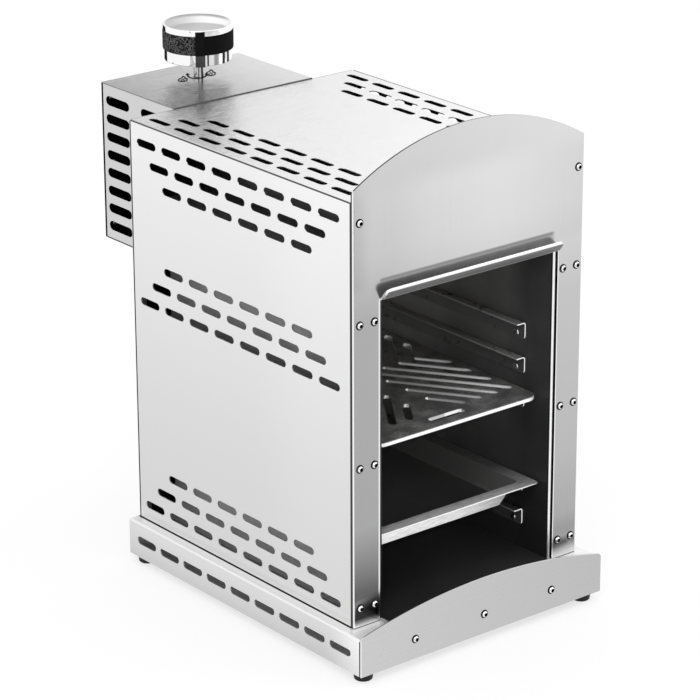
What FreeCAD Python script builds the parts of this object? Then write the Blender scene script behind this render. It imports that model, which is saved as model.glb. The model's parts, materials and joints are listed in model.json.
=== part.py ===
import FreeCAD, Part
import math
import os

os.makedirs("parts", exist_ok=True)
Vector = FreeCAD.Vector

# Steak broiler. The working frame has X to the right, Y to the back and Z up, with Y = 0 at the
# front edge of the side panels and Z = 0 on the deck of the base. Every piece is moved to the
# part's own origin, on the floor below the middle of the whole, when it is saved.

# Body
body_width = 251.4
body_depth = 304.9
body_height = 375.0
panel_sheet = 1.0
panel_bend = 1.0
joggle_bend = 0.3
joggle_gap = 0.2
side_front_flange = 13.0
side_rear_flange = 12.0
side_bottom_flange = 12.0
top_flange = 12.0

# Base
base_side_step = 10.9
base_front_step = 24.3
base_rear_step = 3.3
base_height = 33.6
base_sheet = 1.2
base_bend = 2.4
base_bottom_flange = 25.0
apron_sheet = 1.5
apron_corner = 4.0
apron_end_rise = 2.4
apron_middle_rise = 19.7

# Front panel
front_sheet = 1.5
front_return = 3.5
front_bend = 1.0
arch_above_body = 10.5
arch_rise = 36.0
arch_corner = 2.0
opening_width = 196.0
opening_drop = 12.6
lip_length = 13.3
lip_angle = 53.0
lip_bend = 0.5
lip_corner = 6.0

# Ventilation slots
slot_end_facets = 4
slot_length = 28.0
slot_height = 7.0
slot_pitch = 36.0
slot_row_step = 18.0
slot_group_counts = (8, 7, 6)
slot_upper_row_inset = 17.5
slot_middle_row = 211.5
slot_lower_row = 16.0
slot_group_shift = 2.0
base_slot_count = 9
base_slot_length = 28.5
base_slot_height = 7.5
base_slot_pitch = 34.7
base_slot_level = 16.2
top_slot_inset = 15.3
rear_slot_length = 36.2
rear_slot_height = 8.75
rear_slot_pitch = 53.7
rear_slot_row_step = 16.9
rear_slot_rows = 8
rear_slot_first_row = 13.5
rear_slot_columns = 2
rear_slot_back_margin = 6.6

# Screws and rivets, with few sides because there are many
screw_head_sides = 10
screw_shank_sides = 6
screw_head_radius = 3.8
screw_head_height = 2.2
screw_shank_radius = 1.9
screw_hole_gap = 0.2
screw_length = 8.0
outer_screw_inset = 6.2
inner_screw_inset = 21.7
front_screw_low = 17.5
front_screw_middle = 144.0
front_screw_high = 270.0
front_screw_top_inset = 17.5
apron_screw_pitch = 77.5
apron_screw_level = 15.2
rear_screw_inset = 5.5
rear_screw_end = 14.0
rivet_head_radius = 3.2
rivet_head_height = 1.2
rivet_inset = 11.0
rivet_drop = 11.5

# Chamber
chamber_half_width = 94.0
chamber_rear_gap = 13.9
chamber_sheet = 1.0
chamber_flange_reach = 17.5
chamber_floor_sheet = 1.2
floor_reach = 23.6
floor_flare = 5.0
floor_side_gap = 0.5
rail_lowest = 38.9
rail_step = 31.8
rail_group_step = 79.4
rail_front = 31.0
rail_rear_gap = 10.0
rail_width = 10.0
rail_leg = 16.0
rail_sheet = 1.2
rail_bend = 1.2

# Grate and drip tray
grate_half_width = 92.0
grate_front = 9.5
grate_rear_gap = 0.5
grate_thickness = 3.0
grate_corner = 12.0
grate_slot_width = 7.0
grate_slot_angle = 34.4
grate_slot_step = 18.3
grate_first_slot = 20.0
grate_field_inner = 11.0
grate_field_outer = 86.0
grate_field_front = 27.5
grate_field_gap = 5.0
lift_slot_length = 40.0
lift_slot_width = 8.0
lift_slot_inset = 16.0
tray_half_width = 92.0
tray_front = 8.5
tray_rear_gap = 0.5
tray_sheet = 1.0
tray_corner = 3.0
tray_rim = 11.0
basin_depth = 18.0
basin_draft = 8.0
basin_corner = 7.0
basin_floor_bend = 5.0
tray_fold_drop = 8.0
tray_fold_left_inset = 6.0
tray_fold_right_inset = 37.0
tray_fold_slant = 9.0

# Burner
tile_length = 132.0
tile_thickness = 12.0
tile_count = 3
tile_gap = 1.0
tile_bevel = 1.2
burner_margin = 12.5
frame_sheet = 1.0
frame_ledge = 4.0
burner_wall_gap = 7.0
burner_sheet = 1.0
burner_height = 50.0
burner_bend = 6.0
mixing_tube_radius = 13.0
mixing_tube_wall = 1.2
mixing_tube_lift = 3.0
mixing_tube_fit = 0.05
mixing_tube_reach = 50.0
mixing_mouth_radius = 19.0
mixing_mouth_length = 14.0
electrode_offset = 40.0
electrode_drop = 9.0
electrode_radius = 3.0
electrode_length = 40.0
electrode_rear = 8.0
electrode_tip_radius = 0.9
electrode_tip_reach = 9.0
electrode_tip_bend = 3.0
electrode_tip_forward = 5.0
electrode_tip_rise = 8.0

# Rear box
rear_width = 154.9
rear_depth = 111.2
rear_height = 147.1
rear_rise = 0.8
rear_sheet = 1.0
rear_flange = 9.0
rear_floor_recess = 3.0

# Valve, stem and knob
valve_behind_body = 68.1
valve_block_half = 16.0
valve_block_height = 36.0
valve_boss_length = 8.0
valve_port_height = 12.0
valve_neck_radius = 10.0
valve_neck_height = 12.0
valve_boss_radius = 8.5
valve_outlet_radius = 3.0
valve_roof = 3.0
valve_corner = 4.0
plug_radius = 9.0
plug_height = 20.0
plug_fit = 0.05
plug_floor = 8.0
stem_radius = 4.5
stem_fit = 0.08
stem_roof_gap = 0.6
tongue_thickness = 4.0
tongue_height = 7.0
tongue_gap = 0.3
press_travel = 4.0
collar_radius = 7.0
collar_height = 2.5
collar_lift = 0.6
collar_roof_gap = 1.7
tongue_end_gap = 1.0
knob_clearance = 17.6
knob_height = 33.2
knob_skirt_radius = 30.6
knob_skirt_height = 10.4
knob_grip_radius = 32.2
knob_top_radius = 31.6
knob_core_radius = 28.5
knob_dish_depth = 6.5
knob_rim_width = 1.8
knob_rim_height = 5.4
knob_wall = 2.5
knob_hub_radius = 9.0
knob_hub_cover = 1.0
knob_skirt_edge = 0.4
knob_rim_bevel = 0.6
grip_edge = 0.5
pointer_width = 8.7
pointer_proud = 0.8
pointer_turn = 33.0

# Gas supply
bracket_sheet = 1.5
bracket_half_width = 28.0
bracket_notch_gap = 2.0
bracket_pipe_gap = 1.0
bracket_leg = 18.0
pipe_radius = 4.0
pipe_sides = 12
pipe_wall = 0.8
pipe_bend = 14.0
inlet_offset = 40.0
inlet_drop = 22.0
inlet_thread_radius = 10.4
inlet_neck_relief = 0.9
inlet_bore_gap = 0.05
inlet_hex_across = 27.0
inlet_hex_height = 6.0
nut_height = 5.0
injector_radius = 6.0
injector_length = 12.0
injector_nose_length = 4.8
injector_nose_base = 4.5
injector_nose_tip = 2.4
injector_orifice = 1.2
lead_radius = 1.6
lead_sides = 6
lead_run_share = 0.45
lead_straight = 22.0
lead_spread = 10.0
lead_rise = 12.0
lead_end = 14.0

# Feet
foot_radius = 8.6
foot_taper = 1.2
foot_height = 8.0
foot_inset = 12.0
foot_recess_radius = 4.4
foot_recess_depth = 4.0

# Derived places
half_width = body_width / 2
base_half_width = half_width + base_side_step
base_front = -base_front_step
base_back = body_depth + base_rear_step
apron_front = base_front - apron_sheet
rear_back = body_depth + rear_depth
rear_half_width = rear_width / 2
valve_y = body_depth + valve_behind_body
front_back_face = front_sheet - front_return
arch_start = body_height + arch_above_body
front_screw_top = body_height - front_screw_top_inset
rear_top = body_height + rear_rise
rear_bottom = rear_top - rear_height
collar_bottom = rear_top - rear_sheet - collar_roof_gap - collar_height
valve_top = collar_bottom - press_travel - collar_lift
valve_bottom = valve_top - valve_neck_height - valve_block_height
mixing_level = valve_bottom + valve_port_height
burner_bottom = mixing_level - mixing_tube_radius - mixing_tube_lift - tile_thickness
chamber_height = burner_bottom - frame_sheet - chamber_sheet
electrode_level = chamber_height - electrode_drop
opening_height = chamber_height - opening_drop
stand_height = base_height + foot_height
chamber_depth = body_depth - chamber_rear_gap
rail_tops = [
    rail_lowest,
    rail_lowest + rail_step,
    rail_lowest + rail_step + rail_group_step,
    rail_lowest + 2 * rail_step + rail_group_step,
    rail_lowest + 3 * rail_step + rail_group_step,
]
rail_length = chamber_depth - rail_front - rail_rear_gap
tray_level = rail_tops[1]
grate_level = rail_tops[2]
grate_depth = chamber_depth - grate_front - grate_rear_gap
tray_depth = chamber_depth - tray_front - tray_rear_gap
tile_width = (chamber_depth - 2 * burner_margin - (tile_count - 1) * tile_gap) / tile_count
overall_front = apron_front - screw_head_height
overall_back = rear_back + screw_head_height
screw_hole_radius = screw_shank_radius + screw_hole_gap
origin = Vector(0, -(overall_front + overall_back) / 2, stand_height)


def save(name, shape):
    """Move a piece to the part's origin and write it."""
    placed = shape.copy()
    placed.translate(origin)
    placed.exportStep("parts/" + name + ".step")


def block(x0, x1, y0, y1, z0, z1):
    """Box between three pairs of coordinates."""
    return Part.makeBox(x1 - x0, y1 - y0, z1 - z0, Vector(x0, y0, z0))


def drum(radius, height, x, y, z, axis=Vector(0, 0, 1)):
    """Cylinder that starts at a point."""
    return Part.makeCylinder(radius, height, Vector(x, y, z), axis)


def turned(profile, x, y):
    """Solid of revolution about a vertical axis, from (radius, height) points."""
    points = [Vector(x + radius, y, height) for radius, height in profile]
    wire = Part.makePolygon(points + [points[0]])
    return Part.Face(wire).revolve(Vector(x, y, 0), Vector(0, 0, 1), 360)


def mirrored(shape):
    """The same piece on the other side of the middle plane."""
    return shape.mirror(Vector(0, 0, 0), Vector(1, 0, 0))


def both_sides(shape):
    """A piece and its mirror image as one group."""
    return Part.makeCompound([shape, mirrored(shape)])


def edges_at(shape, test):
    """Edges whose centre passes a test."""
    return [edge for edge in shape.Edges if test(edge.CenterOfMass, edge)]


def runs_along(edge, axis):
    """True for a straight edge that is parallel to an axis."""
    if edge.Curve.TypeId != "Part::GeomLine":
        return False
    return abs(abs(edge.Curve.Direction.dot(axis)) - 1) < 1e-6


def corner_arc(before, corner, after, radius):
    """Start, middle and end of the arc that rounds a corner of a flat path."""
    back = (before - corner).normalize()
    ahead = (after - corner).normalize()
    half = back.getAngle(ahead) / 2
    reach = radius / math.tan(half)
    inward = (back + ahead).normalize()
    middle = corner + inward * (radius / math.sin(half) - radius)
    return corner + back * reach, middle, corner + ahead * reach


def rounded_edges(points, radii):
    """Straight runs and corner arcs along an open path."""
    edges = []
    start = points[0]
    for index in range(1, len(points) - 1):
        first, middle, last = corner_arc(points[index - 1], points[index], points[index + 1], radii[index])
        edges.append(Part.LineSegment(start, first).toShape())
        edges.append(Part.Arc(first, middle, last).toShape())
        start = last
    edges.append(Part.LineSegment(start, points[-1]).toShape())
    return edges


def folded_sheet(path, thickness, bend, place, direction):
    """Sheet folded along a path of flat points, with its thickness on the left of the path."""
    flat = [Vector(u, v, 0) for u, v in path]
    runs = [(flat[i + 1] - flat[i]).normalize() for i in range(len(flat) - 1)]
    lefts = [Vector(-run.y, run.x, 0) for run in runs]
    inner = [flat[0] + lefts[0] * thickness]
    near_radii = [0.0]
    far_radii = [0.0]
    for index in range(1, len(flat) - 1):
        mitre = lefts[index - 1] + lefts[index]
        inner.append(flat[index] + mitre * (2 * thickness / mitre.dot(mitre)))
        turns_left = runs[index - 1].cross(runs[index]).z > 0
        near_radii.append(bend + thickness if turns_left else bend)
        far_radii.append(bend if turns_left else bend + thickness)
    inner.append(flat[-1] + lefts[-1] * thickness)
    near_edges = rounded_edges([place(p.x, p.y) for p in flat], near_radii)
    far_edges = rounded_edges([place(p.x, p.y) for p in inner], far_radii)
    ends = [(place(flat[i].x, flat[i].y), place(inner[i].x, inner[i].y)) for i in (0, -1)]
    caps = [Part.LineSegment(near, far).toShape() for near, far in ends]
    wire = Part.Wire(Part.__sortEdges__(near_edges + far_edges + caps))
    return Part.Face(wire).extrude(direction)


def round_plate(x0, x1, y0, y1, z, corner):
    """Flat outline with four rounded corners, as a wire at a height."""
    plate = block(x0, x1, y0, y1, z - 1, z)
    upright = [edge for edge in plate.Edges if runs_along(edge, Vector(0, 0, 1))]
    plate = plate.makeFillet(corner, upright)
    top = max(plate.Faces, key=lambda face: face.CenterOfMass.z)
    return top.OuterWire


def slot_cutter(centre, along, across, length, width, depth):
    """Slot with rounded, faceted ends through a sheet, as a prism centred on a point."""
    through = along.cross(across)
    straight = (length - width) / 2
    points = []
    for end in (1, -1):
        for step in range(slot_end_facets + 1):
            turn = math.pi * (step / slot_end_facets - 0.5)
            reach = along * (straight + width / 2 * math.cos(turn))
            side = across * (width / 2 * math.sin(turn))
            points.append(centre - through * (depth / 2) + (reach + side) * end)
    return Part.Face(Part.makePolygon(points + [points[0]])).extrude(through * depth)


def slot_group(counts, first_row, row_step, place):
    """Staggered rows of slots; place turns a row level and an offset along the row into a point."""
    centres = []
    for row, count in enumerate(counts):
        for index in range(count):
            offset = (index - (count - 1) / 2) * slot_pitch
            centres.append(place(first_row + row * row_step, offset))
    return centres


def vent_slots(centres, across):
    """Body slots, all running front to back."""
    along = Vector(0, 1, 0)
    depth = 6 * panel_sheet
    return [slot_cutter(centre, along, across, slot_length, slot_height, depth) for centre in centres]


def ring(sides, radius, place, axis):
    """Regular closed polygon with its corners on a radius, square to an axis."""
    turn = 2 * math.pi / sides
    corners = [Vector(radius * math.cos(turn * i), radius * math.sin(turn * i), 0) for i in range(sides)]
    wire = Part.makePolygon(corners + [corners[0]])
    wire.Placement = FreeCAD.Placement(place, FreeCAD.Rotation(Vector(0, 0, 1), axis))
    return wire


def prism(sides, radius, height, place, axis):
    """Regular prism that starts at a point."""
    return Part.Face(ring(sides, radius, place, axis)).extrude(axis * height)


def button_screw(x, y, z, axis):
    """Button head outside the sheet and a plain shank behind it."""
    place = Vector(x, y, z)
    head = prism(screw_head_sides, screw_head_radius, screw_head_height, place, axis)
    shank = prism(screw_shank_sides, screw_shank_radius, screw_length, place, axis * -1)
    return head.fuse(shank)


def screw_hole(x, y, z, axis):
    """Clearance hole for a screw, long enough for two sheets on either side."""
    radius = screw_shank_radius + screw_hole_gap
    return prism(screw_shank_sides, radius, 2 * screw_length, Vector(x, y, z) - axis * screw_length, axis)


def widest_bends(points):
    """Arc radii that use a set share of the shorter run at each corner of a lead's route."""
    radii = [0.0]
    for index in range(1, len(points) - 1):
        ahead = points[index + 1] - points[index]
        behind = points[index] - points[index - 1]
        half_turn = behind.getAngle(ahead) / 2
        radii.append(lead_run_share * min(ahead.Length, behind.Length) / math.tan(half_turn))
    return radii


def pipe_along(points, radius, radii, sides):
    """Many-sided tube or rod along straight runs joined by tangent arcs."""
    path = Part.Wire(rounded_edges(points, radii))
    start = (points[1] - points[0]).normalize()
    return path.makePipeShell([ring(sides, radius, points[0], start)], True, False)


def front_screw_places():
    """Centres of the front panel's screws on the right side, as (x, z)."""
    levels = [front_screw_low, front_screw_middle, front_screw_high]
    outer = [(half_width - outer_screw_inset, level) for level in levels + [front_screw_top]]
    inner = [(half_width - inner_screw_inset, level) for level in levels]
    return outer + inner


def front_holes(shape):
    """Cut the front panel's screw holes, left and right, through a sheet at the front."""
    backward = Vector(0, 1, 0)
    holes = []
    for x, z in front_screw_places():
        holes.append(screw_hole(x, 0, z, backward))
        holes.append(screw_hole(-x, 0, z, backward))
    return shape.cut(holes)


# Base

def foot_centres():
    """Centres of the four feet, as (x, y)."""
    x = base_half_width - foot_inset
    return [(side * x, y) for side in (-1, 1) for y in (apron_front + foot_inset, base_back - foot_inset)]


def base_tray():
    """Inverted pan: deck, four skirts, inward flanges along the bottom of both sides, slotted skirts."""
    outer = block(-base_half_width, base_half_width, base_front, base_back, -base_height, 0)
    top_edges = edges_at(outer, lambda centre, edge: centre.z > -1e-6)
    upright = edges_at(outer, lambda centre, edge: runs_along(edge, Vector(0, 0, 1)))
    outer = outer.makeFillet(base_bend, top_edges + upright)
    wall = base_sheet
    inner = block(-base_half_width + wall, base_half_width - wall, base_front + wall, base_back - wall,
                  -base_height + wall, -wall)
    upright = edges_at(inner, lambda centre, edge: runs_along(edge, Vector(0, 0, 1)))
    inner = inner.makeFillet(base_bend - wall, upright)
    along = Vector(0, 1, 0)
    up = Vector(0, 0, 1)
    mouth = block(-base_half_width + base_bottom_flange, base_half_width - base_bottom_flange,
                  base_front + wall, base_back - wall, -base_height - 1, -base_height + 2 * wall)
    cutters = [inner, mouth]
    middle = (apron_front + base_back) / 2
    for index in range(base_slot_count):
        y = middle + (index - (base_slot_count - 1) / 2) * base_slot_pitch
        for side in (-1, 1):
            centre = Vector(side * base_half_width, y, -base_slot_level)
            cutters.append(slot_cutter(centre, along, up, base_slot_length, base_slot_height, 4 * base_sheet))
    for x in apron_screw_places():
        cutters.append(screw_hole(x, base_front, -apron_screw_level, Vector(0, 1, 0)))
    for x, y in foot_centres():
        cutters.append(screw_hole(x, y, -base_height, Vector(0, 0, 1)))
    return outer.cut(cutters)


def apron_screw_places():
    """Centres of the apron's three screws along X."""
    return [index * apron_screw_pitch for index in (-1, 0, 1)]


def base_front_plate():
    """Flat apron plate whose upper edge is a shallow arch that stands above the deck."""
    rise = apron_middle_rise - apron_end_rise
    radius = (base_half_width ** 2 + rise ** 2) / (2 * rise)
    plate = block(-base_half_width, base_half_width, apron_front, base_front, -base_height, apron_middle_rise)
    disc = drum(radius, apron_sheet + 2, 0, apron_front - 1, apron_middle_rise - radius, Vector(0, 1, 0))
    plate = plate.common(disc)
    corners = edges_at(plate, lambda centre, edge: runs_along(edge, Vector(0, 1, 0)) and centre.z > 0)
    plate = plate.makeFillet(apron_corner, corners)
    backward = Vector(0, 1, 0)
    return plate.cut([screw_hole(x, apron_front, -apron_screw_level, backward) for x in apron_screw_places()])


def apron_screws():
    """Three button screws in a row."""
    forward = Vector(0, -1, 0)
    level = -apron_screw_level
    return Part.makeCompound([button_screw(x, apron_front, level, forward) for x in apron_screw_places()])


def rubber_feet():
    """Four tapered feet with a recess for their screws."""
    floor = -stand_height
    feet = []
    for x, y in foot_centres():
        profile = [
            (screw_hole_radius, -base_height),
            (foot_radius, -base_height),
            (foot_radius - foot_taper, floor),
            (foot_recess_radius, floor),
            (foot_recess_radius, floor + foot_recess_depth),
            (screw_hole_radius, floor + foot_recess_depth),
        ]
        feet.append(turned(profile, x, y))
    return Part.makeCompound(feet)


def foot_screws():
    """Screws that hold the feet, with their heads in the recesses."""
    seat = -stand_height + foot_recess_depth
    screws = []
    for x, y in foot_centres():
        screws.append(button_screw(x, y, seat, Vector(0, 0, -1)))
    return Part.makeCompound(screws)


# Outer body

def side_slot_centres():
    """Slot centres of a side panel: three groups that widen downwards, downwards and upwards."""
    middle = body_depth / 2 + slot_group_shift

    def place(level, offset):
        return Vector(half_width, middle + offset, level)

    upper = slot_group(slot_group_counts, body_height - slot_upper_row_inset, -slot_row_step, place)
    middle_group = slot_group(slot_group_counts, slot_middle_row, slot_row_step, place)
    lower = slot_group(slot_group_counts, slot_lower_row, slot_row_step, place)
    return upper + middle_group + lower


def side_panel_right():
    """Folded side sheet: a joggled front flange behind the front panel, a rear and a bottom flange."""
    def place(u, v):
        return Vector(u, v, 0)

    back = body_depth - panel_sheet
    inside = half_width - front_sheet - joggle_gap
    path = [
        (half_width - side_front_flange, front_back_face),
        (inside, front_back_face),
        (inside, 0),
        (half_width, 0),
        (half_width, back),
        (half_width - side_rear_flange, back),
    ]
    wall = folded_sheet(path, panel_sheet, joggle_bend, place, Vector(0, 0, body_height))
    end = 3 * panel_sheet
    foot = block(half_width - side_bottom_flange, half_width - panel_sheet * 0.5,
                 end, back - end, 0, panel_sheet)
    wall = wall.fuse(foot).removeSplitter()
    below_lid = block(half_width - 2 * side_front_flange, half_width - panel_sheet, -front_return,
                      body_depth, body_height - panel_sheet, body_height + 1)
    wall = wall.cut([below_lid] + vent_slots(side_slot_centres(), Vector(0, 0, 1)))
    return front_holes(wall)


def top_panel():
    """Lid between the side panels, with flanges turned down inside them and two groups of slots."""
    inner_half = half_width - panel_sheet

    def place(u, v):
        return Vector(u, front_back_face, v)

    path = [
        (inner_half, body_height - top_flange),
        (inner_half, body_height),
        (-inner_half, body_height),
        (-inner_half, body_height - top_flange),
    ]
    depth = Vector(0, body_depth - front_back_face, 0)
    lid = folded_sheet(path, panel_sheet, panel_bend, place, depth)
    cutters = lid_notches()
    middle = body_depth / 2 + slot_group_shift
    for side in (-1, 1):
        def place_slot(level, offset, side=side):
            return Vector(side * level, middle + offset, body_height)

        centres = slot_group(slot_group_counts, half_width - top_slot_inset, -slot_row_step, place_slot)
        cutters += vent_slots(centres, Vector(1, 0, 0))
    return lid.cut(cutters)


def lid_notches():
    """Cuts that clear the side panels' folded ends, the back panel and the front panel's returns."""
    end = 3 * panel_sheet
    low = body_height - top_flange - 1
    high = body_height - panel_sheet
    outside = half_width + 1
    inside = half_width - front_sheet - joggle_gap
    cutters = []
    for side in (-1, 1):
        flange = sorted((side * (half_width - 2 * panel_sheet - panel_bend), side * outside))
        corner = sorted((side * inside, side * outside))
        cutters.append(block(*flange, front_back_face - 1, end, low, high))
        cutters.append(block(*flange, body_depth - panel_sheet - end, body_depth + 1, low, high))
        cutters.append(block(*corner, front_back_face - 1, 0, low, body_height + 1))
    return cutters


def back_panel():
    """Plain rear sheet with a window for the mixing tube and holes for the electrode and the probe."""
    back = body_depth - panel_sheet
    sheet = block(-half_width, half_width, back, body_depth, 0, body_height - panel_sheet)
    backward = Vector(0, 1, 0)
    window = drum(mixing_mouth_radius + mixing_tube_lift, 10, 0, back - 5, mixing_level, backward)
    return sheet.cut([window] + probe_holes(back - 5))


def front_panel():
    """Tall plate with an arched top, returns at its sides and a flared lip along the opening."""
    top = arch_start + arch_rise
    radius = (half_width ** 2 + arch_rise ** 2) / (2 * arch_rise)
    plate = block(-half_width, half_width, -front_return, 0, 0, top)
    disc = drum(radius, front_return + 2, 0, -front_return - 1, top - radius, Vector(0, 1, 0))
    plate = plate.common(disc)
    upright = edges_at(plate, lambda centre, edge: runs_along(edge, Vector(0, 0, 1)))
    bends = [edge for edge in upright if edge.CenterOfMass.y < -front_return / 2]
    plate = plate.makeFillet(front_bend, bends)
    inside = half_width - front_sheet
    shoulder = arch_start - arch_corner
    hollow = block(-inside, inside, front_back_face, 1, -1, top)
    above = block(-half_width - 1, half_width + 1, front_back_face, 1, shoulder, top + 1)
    lip, level = visor_lip()
    opening = block(-opening_width / 2, opening_width / 2, -front_return - 1, 1, -1, level)
    plate = plate.cut([hollow, above, opening]).fuse(lip).removeSplitter()
    return front_holes(plate)


def visor_lip():
    """Folded strip that turns forward and up under the panel, and the level where it joins the panel."""
    slant = math.radians(lip_angle)
    half_turn = (math.pi / 2 - slant) / 2
    fold_drop = (lip_bend + front_sheet) - lip_bend / math.tan(half_turn)
    fold = opening_height + fold_drop
    join = fold + (lip_bend + front_sheet) / math.tan(half_turn) + front_sheet

    def place(u, v):
        return Vector(-opening_width / 2, u, v)

    path = [
        (-front_return, join),
        (-front_return, fold),
        (-front_return - lip_length * math.cos(slant), fold + lip_length * math.sin(slant)),
    ]
    strip = folded_sheet(path, front_sheet, lip_bend, place, Vector(opening_width, 0, 0))
    normal = Vector(0, math.sin(slant), math.cos(slant))
    tips = edges_at(strip, lambda centre, edge: runs_along(edge, normal))
    strip = strip.makeFillet(lip_corner, tips)
    return strip, join - front_sheet


def front_panel_screws():
    """Seven button screws on each side of the front panel."""
    forward = Vector(0, -1, 0)
    screws = []
    for x, z in front_screw_places():
        for side in (-1, 1):
            screws.append(button_screw(side * x, -front_return, z, forward))
    return Part.makeCompound(screws)


# Cooking chamber

def rail_rivet_places():
    """Rivet centres on the right-hand rails, as (y, z)."""
    ends = (rail_front + rivet_inset, rail_front + rail_length - rivet_inset)
    return [(y, top - rivet_drop) for top in rail_tops for y in ends]


def liner_right():
    """Chamber side wall with a front flange that the front panel's inner screws pass through."""
    def place(u, v):
        return Vector(u, v, chamber_floor_sheet)

    path = [
        (chamber_half_width, chamber_depth),
        (chamber_half_width, front_back_face),
        (chamber_half_width + chamber_flange_reach, front_back_face),
    ]
    height = Vector(0, 0, chamber_height - chamber_floor_sheet)
    wall = folded_sheet(path, chamber_sheet, chamber_sheet, place, height)
    return front_holes(wall)


def probe_holes(start):
    """Holes for the electrode's and the flame probe's sleeves."""
    backward = Vector(0, 1, 0)
    radius = electrode_radius + screw_hole_gap
    return [drum(radius, 10, side * electrode_offset, start, electrode_level, backward) for side in (-1, 1)]


def liner_back():
    """Rear wall of the chamber, with holes for the electrode and the flame probe."""
    wall = block(-chamber_half_width - chamber_sheet, chamber_half_width + chamber_sheet,
                 chamber_depth, chamber_depth + chamber_sheet, chamber_floor_sheet, chamber_height)
    return wall.cut(probe_holes(chamber_depth - 5))


def chamber_floor():
    """Floor plate that reaches forward over the deck to the apron and flares towards it."""
    inner = opening_width / 2 - floor_side_gap
    flared = inner + floor_flare
    wide = half_width - 1.5 * side_bottom_flange
    step = side_bottom_flange
    back = chamber_depth + chamber_sheet
    right = [(flared, -floor_reach), (inner, -front_return), (inner, step), (wide, step), (wide, back)]
    left = [(-x, y) for x, y in reversed(right)]
    outline = [Vector(x, y, 0) for x, y in right + left]
    return Part.Face(Part.makePolygon(outline + [outline[0]])).extrude(Vector(0, 0, chamber_floor_sheet))


def burner_span():
    """Front and back of the row of ceramic tiles."""
    return burner_margin, chamber_depth - burner_margin


def chamber_ceiling():
    """Sheet over the chamber with a window below the burner and a flange turned up at the front."""
    def place(u, v):
        return Vector(-chamber_half_width - chamber_sheet, u, v)

    path = [
        (front_back_face, chamber_height + top_flange),
        (front_back_face, chamber_height),
        (chamber_depth + chamber_sheet, chamber_height),
    ]
    width = Vector(2 * (chamber_half_width + chamber_sheet), 0, 0)
    sheet = folded_sheet(path, chamber_sheet, chamber_sheet, place, width)
    front, back = burner_span()
    half = tile_length / 2
    window = block(-half, half, front, back, chamber_height - 1, chamber_height + 3)
    return sheet.cut(window)


def shelf_rails_right():
    """Five angle rails on the right wall, each with its front end rounded below."""
    def place(u, v):
        return Vector(u, rail_front, v)

    rails = []
    wall = chamber_half_width
    for top in rail_tops:
        path = [(wall, top - rail_leg), (wall, top), (wall - rail_width, top)]
        rail = folded_sheet(path, rail_sheet, rail_bend, place, Vector(0, rail_length, 0))
        low = top - rail_leg + 1e-3
        foot = edges_at(rail, lambda centre, edge: runs_along(edge, Vector(1, 0, 0)) and centre.z < low)
        rails.append(rail.makeFillet(rail_sheet * 3, foot))
    return Part.makeCompound(rails)


def rail_rivets():
    """Two low rivet heads on each rail's leg."""
    inward = Vector(-1, 0, 0)
    face = chamber_half_width - rail_sheet
    heads = []
    for y, z in rail_rivet_places():
        heads.append(prism(8, rivet_head_radius, rivet_head_height, Vector(face, y, z), inward))
    return both_sides(Part.makeCompound(heads))


# Burner

def ceramic_tiles():
    """Three ceramic burner plates in a row, each with bevelled lower edges."""
    front = burner_span()[0]
    bottom = burner_bottom
    tiles = []
    for index in range(tile_count):
        y = front + index * (tile_width + tile_gap)
        tile = block(-tile_length / 2, tile_length / 2, y, y + tile_width, bottom, bottom + tile_thickness)
        lower = edges_at(tile, lambda centre, edge: centre.z < bottom + 1e-6)
        tiles.append(tile.makeChamfer(tile_bevel, lower))
    return Part.makeCompound(tiles)


def burner_frame():
    """Flat frame below the tiles with a window for each one."""
    front, back = burner_span()
    rim = burner_wall_gap + burner_sheet
    bottom = chamber_height + chamber_sheet
    half = tile_length / 2
    frame = block(-half - rim, half + rim, front - rim, back + rim, bottom, bottom + frame_sheet)
    windows = []
    for index in range(tile_count):
        y = front + index * (tile_width + tile_gap)
        windows.append(block(-half + frame_ledge, half - frame_ledge, y + frame_ledge,
                             y + tile_width - frame_ledge, bottom - 1, bottom + 2))
    return frame.cut(windows)


def burner_housing():
    """Gas plenum: a pressed pan, open below, that stands round the tiles."""
    front, back = burner_span()
    bottom = burner_bottom
    half = tile_length / 2 + burner_wall_gap
    gap = burner_wall_gap - burner_sheet
    outer = block(-half, half, front - burner_wall_gap, back + burner_wall_gap,
                  bottom, bottom + burner_height)
    upper = edges_at(outer, lambda centre, edge: centre.z > bottom + 1)
    outer = outer.makeFillet(burner_bend, upper)
    half -= burner_sheet
    inner = block(-half, half, front - gap, back + gap, bottom - 1, bottom + burner_height - burner_sheet)
    upper = edges_at(inner, lambda centre, edge: centre.z > bottom)
    inner = inner.makeFillet(burner_bend - burner_sheet, upper)
    entry = drum(mixing_tube_radius + mixing_tube_fit, 30, 0, back, mixing_level, Vector(0, 1, 0))
    return outer.cut([inner, entry])


def mixing_tube():
    """Straight mixing tube from the rear of the plenum, with a flared mouth at the injector."""
    start = burner_span()[1] + burner_wall_gap - burner_sheet
    end = start + mixing_tube_reach
    outer = mixing_tube_radius
    inner = outer - mixing_tube_wall
    mouth = mixing_mouth_radius
    lip = mouth - mixing_tube_wall
    throat = end - mixing_mouth_length
    profile = [(inner, start), (outer, start), (outer, throat), (mouth, end), (lip, end), (inner, throat)]
    points = [Vector(radius, y, mixing_level) for radius, y in profile]
    wire = Part.makePolygon(points + [points[0]])
    return Part.Face(wire).revolve(Vector(0, 0, mixing_level), Vector(0, 1, 0), 360)


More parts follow.
